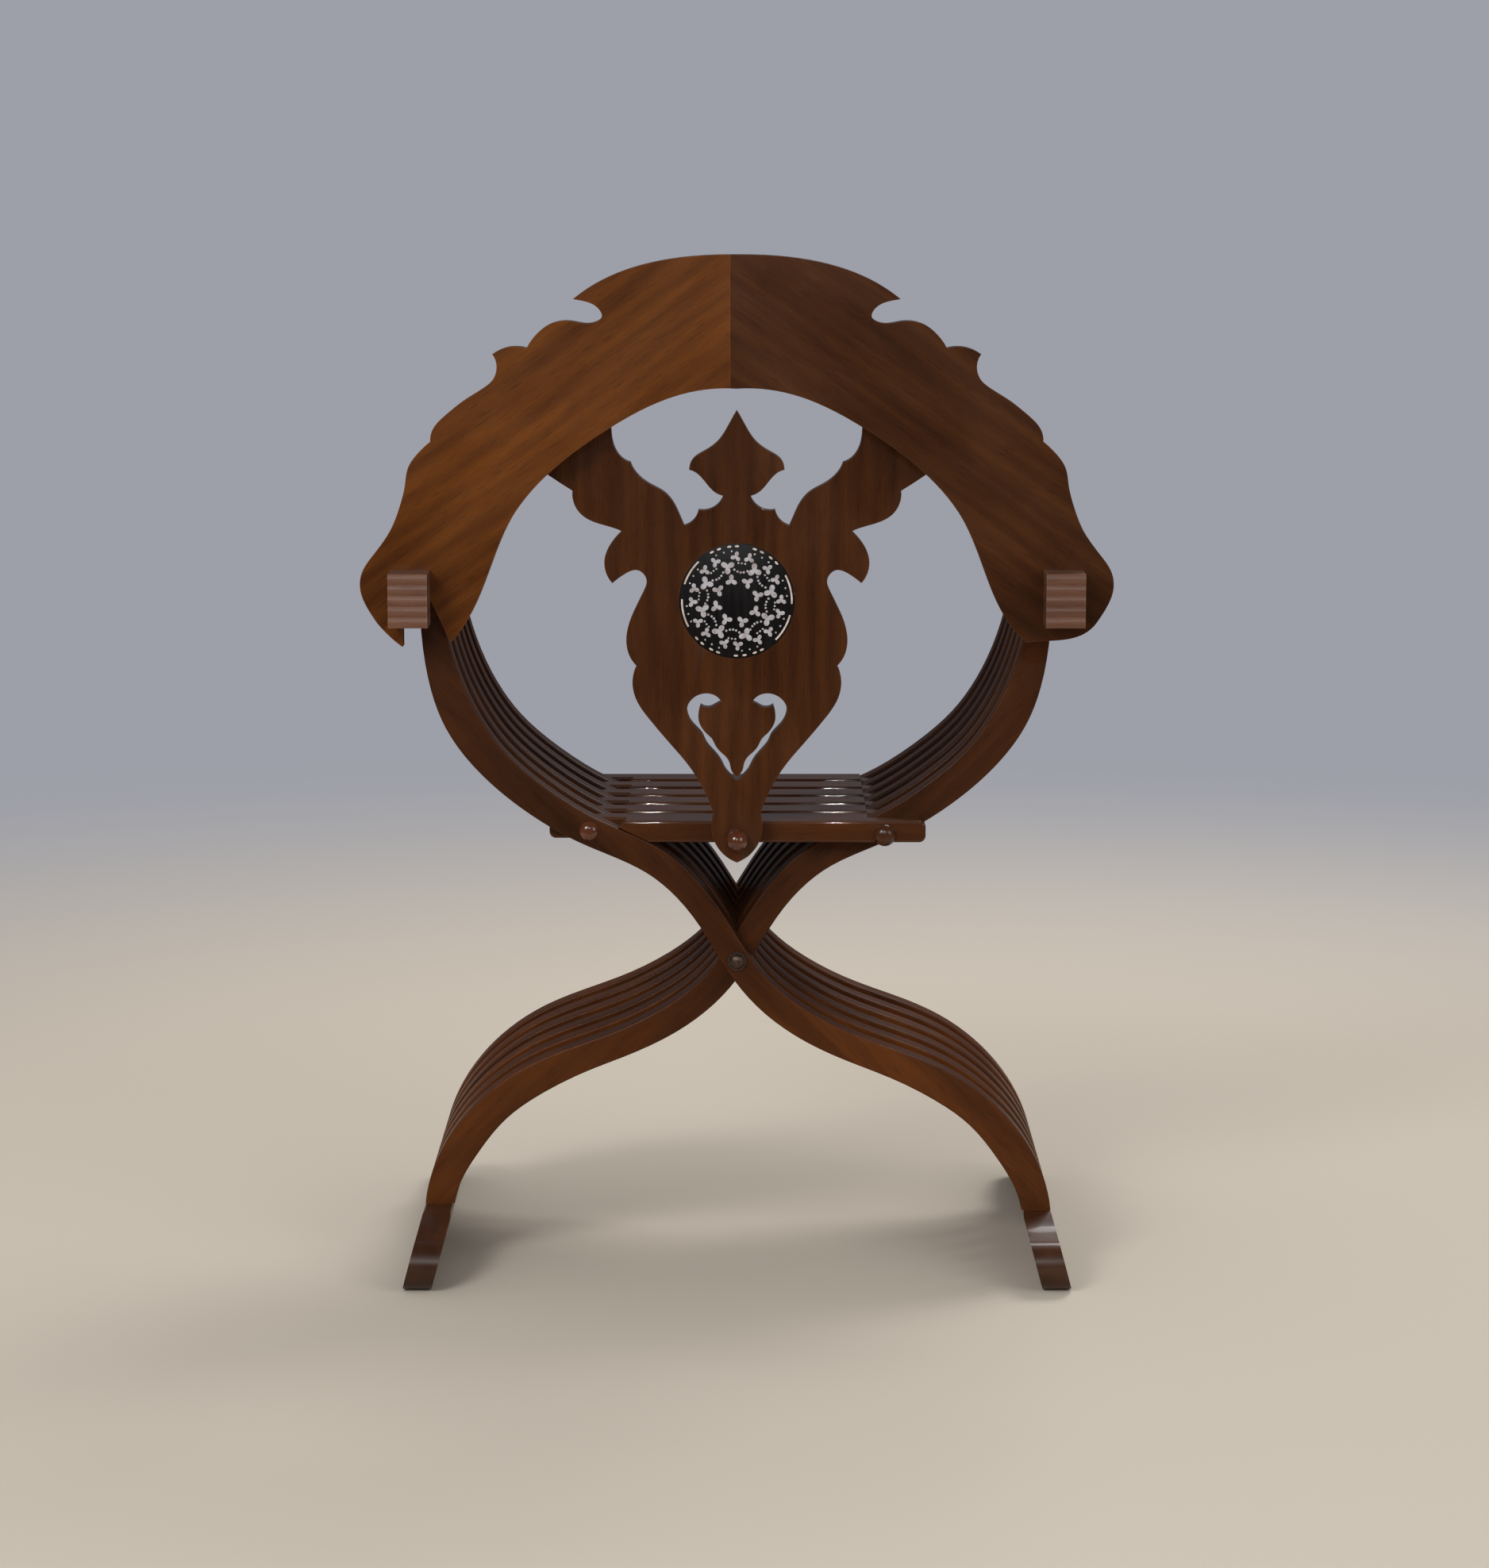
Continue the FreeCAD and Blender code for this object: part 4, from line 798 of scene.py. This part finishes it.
class CHAIR_OT_medallion(bpy.types.Operator):
    """The blackened disc with its pattern of bone leaves, dots and rim strips on both faces"""
    bl_idname = "chair.medallion"
    bl_label = "Inlaid disc"

    def leaf(self, bm, radius, shares, angle, turn):
        """One leaf, its size and place given as shares of the disc's radius."""
        size, place = shares
        set_at(bm, trefoil(bm, size * radius), place * radius, angle, turn)

    def bead(self, bm, radius, shares, angle, outward=0.0):
        """One dot, its size and place given as shares of the disc's radius."""
        size, place = shares
        set_at(bm, dot(bm, size * radius), (place + outward) * radius, angle)

    def eighth(self, bm, radius, number):
        """The leaves and dots of one eighth of the pattern."""
        middle = math.radians(FIRST_EIGHTH) + number * EIGHTH
        sway = SWAY * math.sin(SWAY_STEP * number)
        self.leaf(bm, radius, INNER_LEAF_SHARES, middle, sway)
        self.leaf(bm, radius, MIDDLE_LEAF_SHARES, middle, math.pi + sway)
        for side in (-1, 1):
            angle = middle + side * math.radians(OUTER_LEAF_ASIDE)
            self.leaf(bm, radius, OUTER_LEAF_SHARES, angle, side * (OUTER_LEAF_TURN + sway))
        between_leaves = middle + EIGHTH / 2
        for step in range(-2, 3):
            self.bead(bm, radius, GARLAND_DOT_SHARES, between_leaves + GARLAND_STEP * step,
                      GARLAND_SAG_SHARE * step * step)
        for step in range(-1, 2):
            self.bead(bm, radius, SHORT_ROW_DOT_SHARES, between_leaves + SHORT_ROW_STEP * step)
            self.bead(bm, radius, OUTER_DOT_SHARES, middle + OUTER_DOT_STEP * step)

    def rim(self, bm, radius):
        """The strips and long dots at the rim."""
        width, place = STRIP_SHARES
        for start, end in RIM_STRIPS:
            strip(bm, place * radius, width * radius, math.radians(start), math.radians(end))
        size, place = RIM_DOT_SHARES
        for angle in RIM_DOTS:
            verts = dot(bm, size * radius)
            bmesh.ops.scale(bm, verts=verts, vec=RIM_DOT_STRETCH)
            set_at(bm, verts, place * radius, math.radians(angle))

    def ground_material(self, colours):
        """Blackened wood with faint streaks."""
        material, tree, shader = new_material("blackened_wood")
        streaks = grown(tree, grain_coordinates(tree, (0, QUARTER, 0), (0.3, 0.3, 8.0)), EBONY_STREAKS)
        greyed = tuple(GREYED_GAIN * c for c in colours.ground)
        tree.links.new(ramp(tree, streaks, ((0.3, colours.ground), (0.7, greyed))),
                       shader.inputs["Base Color"])
        tree.links.new(grey_ramp(tree, streaks, ((0.3, 0.36), (0.7, 0.46))), shader.inputs["Roughness"])
        shader.inputs["Specular IOR Level"].default_value = 0.12
        return material

    def bone_material(self, colours, centre, radius):
        """Stained bone, paler and warmer at the disc's rim."""
        material, tree, shader = new_material("inlaid_bone")
        place = object_place(tree)
        cloud = noise(tree, place, scale=160.0, detail=2.0)
        centred = add(tree, "ShaderNodeMapping", Vector=place, Location=(-centre.x, 0, -centre.z),
                      Scale=(1, 0, 1)).outputs[0]
        reach = math_node(tree, "DIVIDE", length_of(tree, centred), radius)
        reach = math_node(tree, "ADD", reach, math_node(tree, "MULTIPLY", cloud, RIM_BONE_WAVER))
        tone = ramp(tree, reach, ((RIM_BONE_FROM, colours.bone), (RIM_BONE_TO, colours.rim_bone)))
        stain = ramp(tree, cloud, ((0.35, colours.bone_stain), (0.6, (1.0, 1.0, 1.0))))
        tree.links.new(multiplied(tree, tone, stain), shader.inputs["Base Color"])
        tree.links.new(grey_ramp(tree, cloud, ((0.3, 0.3), (0.7, 0.45))), shader.inputs["Roughness"])
        return material

    def disc(self, radius, depth, rounding):
        """The disc's ground, flat in the XZ plane round the origin."""
        bm = bmesh.new()
        bmesh.ops.create_cone(bm, cap_ends=True, segments=128, radius1=radius, radius2=radius, depth=depth)
        rims = [e for e in bm.edges if abs(e.verts[0].co.z - e.verts[1].co.z) < SMALL_GAP]
        bmesh.ops.bevel(bm, geom=rims, offset=rounding, segments=2, affect="EDGES", profile=0.5,
                        material=-1)
        turned(bm, bm.verts[:], QUARTER, "X")
        return bm

    def inlay(self, radius, thickness):
        """The bone pattern, with its face up in the XY plane."""
        bm = bmesh.new()
        for number in range(EIGHTHS):
            self.eighth(bm, radius, number)
        self.rim(bm, radius)
        bmesh.ops.recalc_face_normals(bm, faces=bm.faces[:])
        for face in bm.faces:
            if face.normal.z < 0:
                face.normal_flip()
        raised = bmesh.ops.extrude_face_region(bm, geom=bm.faces[:])
        fresh = [item for item in raised["geom"] if isinstance(item, bmesh.types.BMVert)]
        bmesh.ops.translate(bm, verts=fresh, vec=(0, 0, -thickness))
        bmesh.ops.recalc_face_normals(bm, faces=bm.faces[:])
        return bm

    def execute(self, context):
        sizes = context.scene.chair_sizes
        colours = context.scene.chair_colours
        low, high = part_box("medallion_disc")
        centre = (low + high) / 2
        radius = (high.x - low.x) / 2
        body = body_of_node("medallion_disc")
        ground = self.ground_material(colours)
        bone = self.bone_material(colours, centre, radius)

        bm = self.disc(radius, high.y - low.y, sizes.disc_round)
        bmesh.ops.translate(bm, verts=bm.verts[:], vec=centre)
        finished(bm, "disc_ground", body, ground, ("medallion_disc",))

        for word, level, turn in (("rear", low.y - sizes.inlay_proud, QUARTER),
                                  ("front", high.y + sizes.inlay_proud, -QUARTER)):
            bm = self.inlay(radius, sizes.inlay_depth)
            turned(bm, bm.verts[:], turn, "X")
            bmesh.ops.translate(bm, verts=bm.verts[:], vec=(centre.x, level, centre.z))
            finished(bm, f"bone_inlay_{word}", body, bone)
        return {"FINISHED"}


class CHAIR_OT_turned_parts(bpy.types.Operator):
    """Glossy turned knob and the domed seat rods"""
    bl_idname = "chair.turned_parts"
    bl_label = "Knob and domes"

    def execute(self, context):
        colours = context.scene.chair_colours
        glossy = wood("turned_walnut", colours.turned_dark, colours.turned_light, turn=(0, 0, QUARTER),
                      shift=(0.1, 0.4, 9.0), polish=0.16, coat=0.8, coat_blur=0.05)
        for node in ("splat_knob", "seat_hinge_rod", "seat_hinge_button"):
            paint(frame["nodes"][node], glossy)
        plain = wood("rest_walnut", colours.frame_dark, colours.frame_light, turn=(0, 0, QUARTER),
                     shift=(0.6, 0.4, 9.0), polish=0.28)
        for node in ("seat_rest_rod", "seat_rest_button"):
            paint(frame["nodes"][node], plain)
        return {"FINISHED"}


class CHAIR_OT_iron(bpy.types.Operator):
    """Dark iron on the main pivot, its washers and the screws"""
    bl_idname = "chair.iron"
    bl_label = "Iron"

    def execute(self, context):
        colours = context.scene.chair_colours
        material, tree, shader = new_material("dark_iron")
        rust = noise(tree, object_place(tree), scale=420.0, detail=4.0, roughness=0.6)
        brown = between(colours.iron, colours.rust, 0.5)
        tree.links.new(ramp(tree, rust, ((0.35, colours.iron), (0.65, brown))), shader.inputs["Base Color"])
        tree.links.new(grey_ramp(tree, rust, ((0.3, 0.32), (0.7, 0.55))), shader.inputs["Roughness"])
        shader.inputs["Metallic"].default_value = 0.85
        bump = add(tree, "ShaderNodeBump", Height=rust, Strength=0.3, Distance=0.0003)
        tree.links.new(bump.outputs[0], shader.inputs["Normal"])
        for node in ("main_pivot_rod", "main_pivot_nut", "pivot_washer_rear", "pivot_washer_front",
                     "wing_screws"):
            paint(frame["nodes"][node], material)
        return {"FINISHED"}


class CHAIR_OT_stage(bpy.types.Operator):
    """Pale floor, soft lamps and the photograph's camera"""
    bl_idname = "chair.stage"
    bl_label = "Stage"

    def lamp(self, name, place, size, power, shine_only=False):
        """A square lamp aimed at the chair; it may show in the polish alone."""
        data = bpy.data.lights.new(name, "AREA")
        data.size = size
        data.energy = power
        obj = bpy.data.objects.new(name, data)
        obj.location = place
        obj.visible_camera = False
        obj.visible_diffuse = not shine_only
        obj.rotation_mode = "QUATERNION"
        obj.rotation_quaternion = (Vector(place) - Vector(LAMP_TARGET)).to_track_quat("Z", "Y")
        bpy.context.scene.collection.objects.link(obj)

    def mirrored(self, tree):
        """One where a ray comes off a gloss or through glass, and otherwise nothing."""
        path = tree.nodes.new("ShaderNodeLightPath")
        return math_node(tree, "ADD", path.outputs["Is Glossy Ray"], path.outputs["Is Transmission Ray"])

    def floor_material(self, settings):
        """Pale floor that fades into the backdrop, and is mirrored dim on the camera's side."""
        material, tree, shader = new_material("studio_floor")
        shader.inputs["Base Color"].default_value = (*settings.floor, 1)
        shader.inputs["Roughness"].default_value = 0.9
        shader.inputs["Specular IOR Level"].default_value = 0.1
        place = object_place(tree)
        reach = math_node(tree, "MULTIPLY", length_of(tree, place), 1 / FADING_REACH)
        fade = grey_ramp(tree, reach, FADING_STOPS, "EASE")
        mirrored = self.mirrored(tree)
        share = math_node(tree, "MULTIPLY", mirrored, 1 - MIRRORED_SHARE)
        strength = math_node(tree, "SUBTRACT", 1.0, share)
        glow = add(tree, "ShaderNodeEmission", Color=(*settings.backdrop, 1), Strength=strength)
        lit = mixed(tree, fade, shader.outputs[0], glow.outputs[0])
        dim = add(tree, "ShaderNodeEmission", Color=(*DIM_ROOM, 1))
        towards_camera = math_node(tree, "MULTIPLY", part_of(tree, place, "Y"), -1 / FADING_REACH)
        near = grey_ramp(tree, towards_camera, DIMMING_STOPS)
        final = mixed(tree, math_node(tree, "MULTIPLY", near, mirrored), lit, dim.outputs[0])
        tree.links.new(final, tree.nodes["Material Output"].inputs[0])
        return material

    def floor(self, settings):
        """A wide round floor."""
        bm = bmesh.new()
        bmesh.ops.create_circle(bm, cap_ends=True, radius=FLOOR_RADIUS, segments=96)
        mesh = bpy.data.meshes.new("studio_floor")
        bm.to_mesh(mesh)
        bm.free()
        obj = bpy.data.objects.new("studio_floor", mesh)
        bpy.context.scene.collection.objects.link(obj)
        paint(obj, self.floor_material(settings))

    def world(self, settings):
        """Pale backdrop for the camera, dimmer in the polish, and a soft light for the chair."""
        world = bpy.data.worlds.new("studio_light")
        bpy.context.scene.world = world
        world.use_nodes = True
        tree = world.node_tree
        light = tree.nodes["Background"]
        light.inputs["Color"].default_value = (*SKY, 1)
        light.inputs["Strength"].default_value = SKY_STRENGTH
        seen = add(tree, "ShaderNodeBackground", Color=(*settings.backdrop, 1), Strength=1.0)
        shown = add(tree, "ShaderNodeBackground", Color=(*settings.backdrop, 1), Strength=MIRRORED_SHARE)
        dim = add(tree, "ShaderNodeBackground", Color=(*DIM_ROOM, 1), Strength=1.0)
        depth = part_of(tree, add(tree, "ShaderNodeTexCoord").outputs["Generated"], "Y")
        beyond = grey_ramp(tree, math_node(tree, "ADD", depth, 0.5), BACKDROP_STOPS)
        shine = mixed(tree, beyond, dim.outputs[0], shown.outputs[0])
        lit = mixed(tree, self.mirrored(tree), light.outputs[0], shine)
        camera = tree.nodes.new("ShaderNodeLightPath").outputs["Is Camera Ray"]
        final = mixed(tree, camera, lit, seen.outputs[0])
        tree.links.new(final, tree.nodes["World Output"].inputs[0])

    def camera(self, context, settings):
        """The photograph's camera, behind the chair and looking a little down."""
        data = bpy.data.cameras.new("photograph_camera")
        data.lens = data.sensor_width * PHOTO_FOCAL / PHOTO_HEIGHT
        camera = bpy.data.objects.new("photograph_camera", data)
        camera.location = (settings.aside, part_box("slat_left_1")[0].y - settings.distance, settings.eye)
        camera.rotation_euler = (QUARTER - CAMERA_TILT, 0, 0)
        context.scene.collection.objects.link(camera)
        context.scene.camera = camera

    def execute(self, context):
        settings = context.scene.chair_stage
        self.floor(settings)
        self.world(settings)
        for lamp in LAMPS:
            self.lamp(*lamp)
        for window in WINDOWS:
            self.lamp(*window, shine_only=True)
        self.camera(context, settings)
        context.scene.view_settings.view_transform = "Standard"
        return {"FINISHED"}


STEPS = (CHAIR_OT_slats, CHAIR_OT_seat, CHAIR_OT_arms_and_runners, CHAIR_OT_blocks, CHAIR_OT_board,
         CHAIR_OT_splat, CHAIR_OT_medallion, CHAIR_OT_turned_parts, CHAIR_OT_iron, CHAIR_OT_stage)


class CHAIR_PT_panel(bpy.types.Panel):
    """Lists the chair's finishing steps"""
    bl_idname = "CHAIR_PT_panel"
    bl_label = "Folding slat chair"
    bl_space_type = "VIEW_3D"
    bl_region_type = "UI"
    bl_category = "Chair"

    def draw(self, context):
        for step in STEPS:
            self.layout.operator(step.bl_idname)


GROUPS = (("chair_sizes", ChairSizes), ("chair_colours", ChairColours), ("chair_stage", StageSettings))


def register():
    """Registers the settings, the steps and the panel."""
    for name, group in GROUPS:
        bpy.utils.register_class(group)
        setattr(bpy.types.Scene, name, bpy.props.PointerProperty(type=group))
    for item in (*STEPS, CHAIR_PT_panel):
        bpy.utils.register_class(item)


def unregister():
    """Takes them away again."""
    for item in (CHAIR_PT_panel, *reversed(STEPS)):
        bpy.utils.unregister_class(item)
    for name, group in GROUPS:
        delattr(bpy.types.Scene, name)
        bpy.utils.unregister_class(group)


def main():
    """Runs every step in order."""
    register()
    for step in STEPS:
        group, name = step.bl_idname.split(".")
        getattr(getattr(bpy.ops, group), name)()


if __name__ == "__main__":
    main()
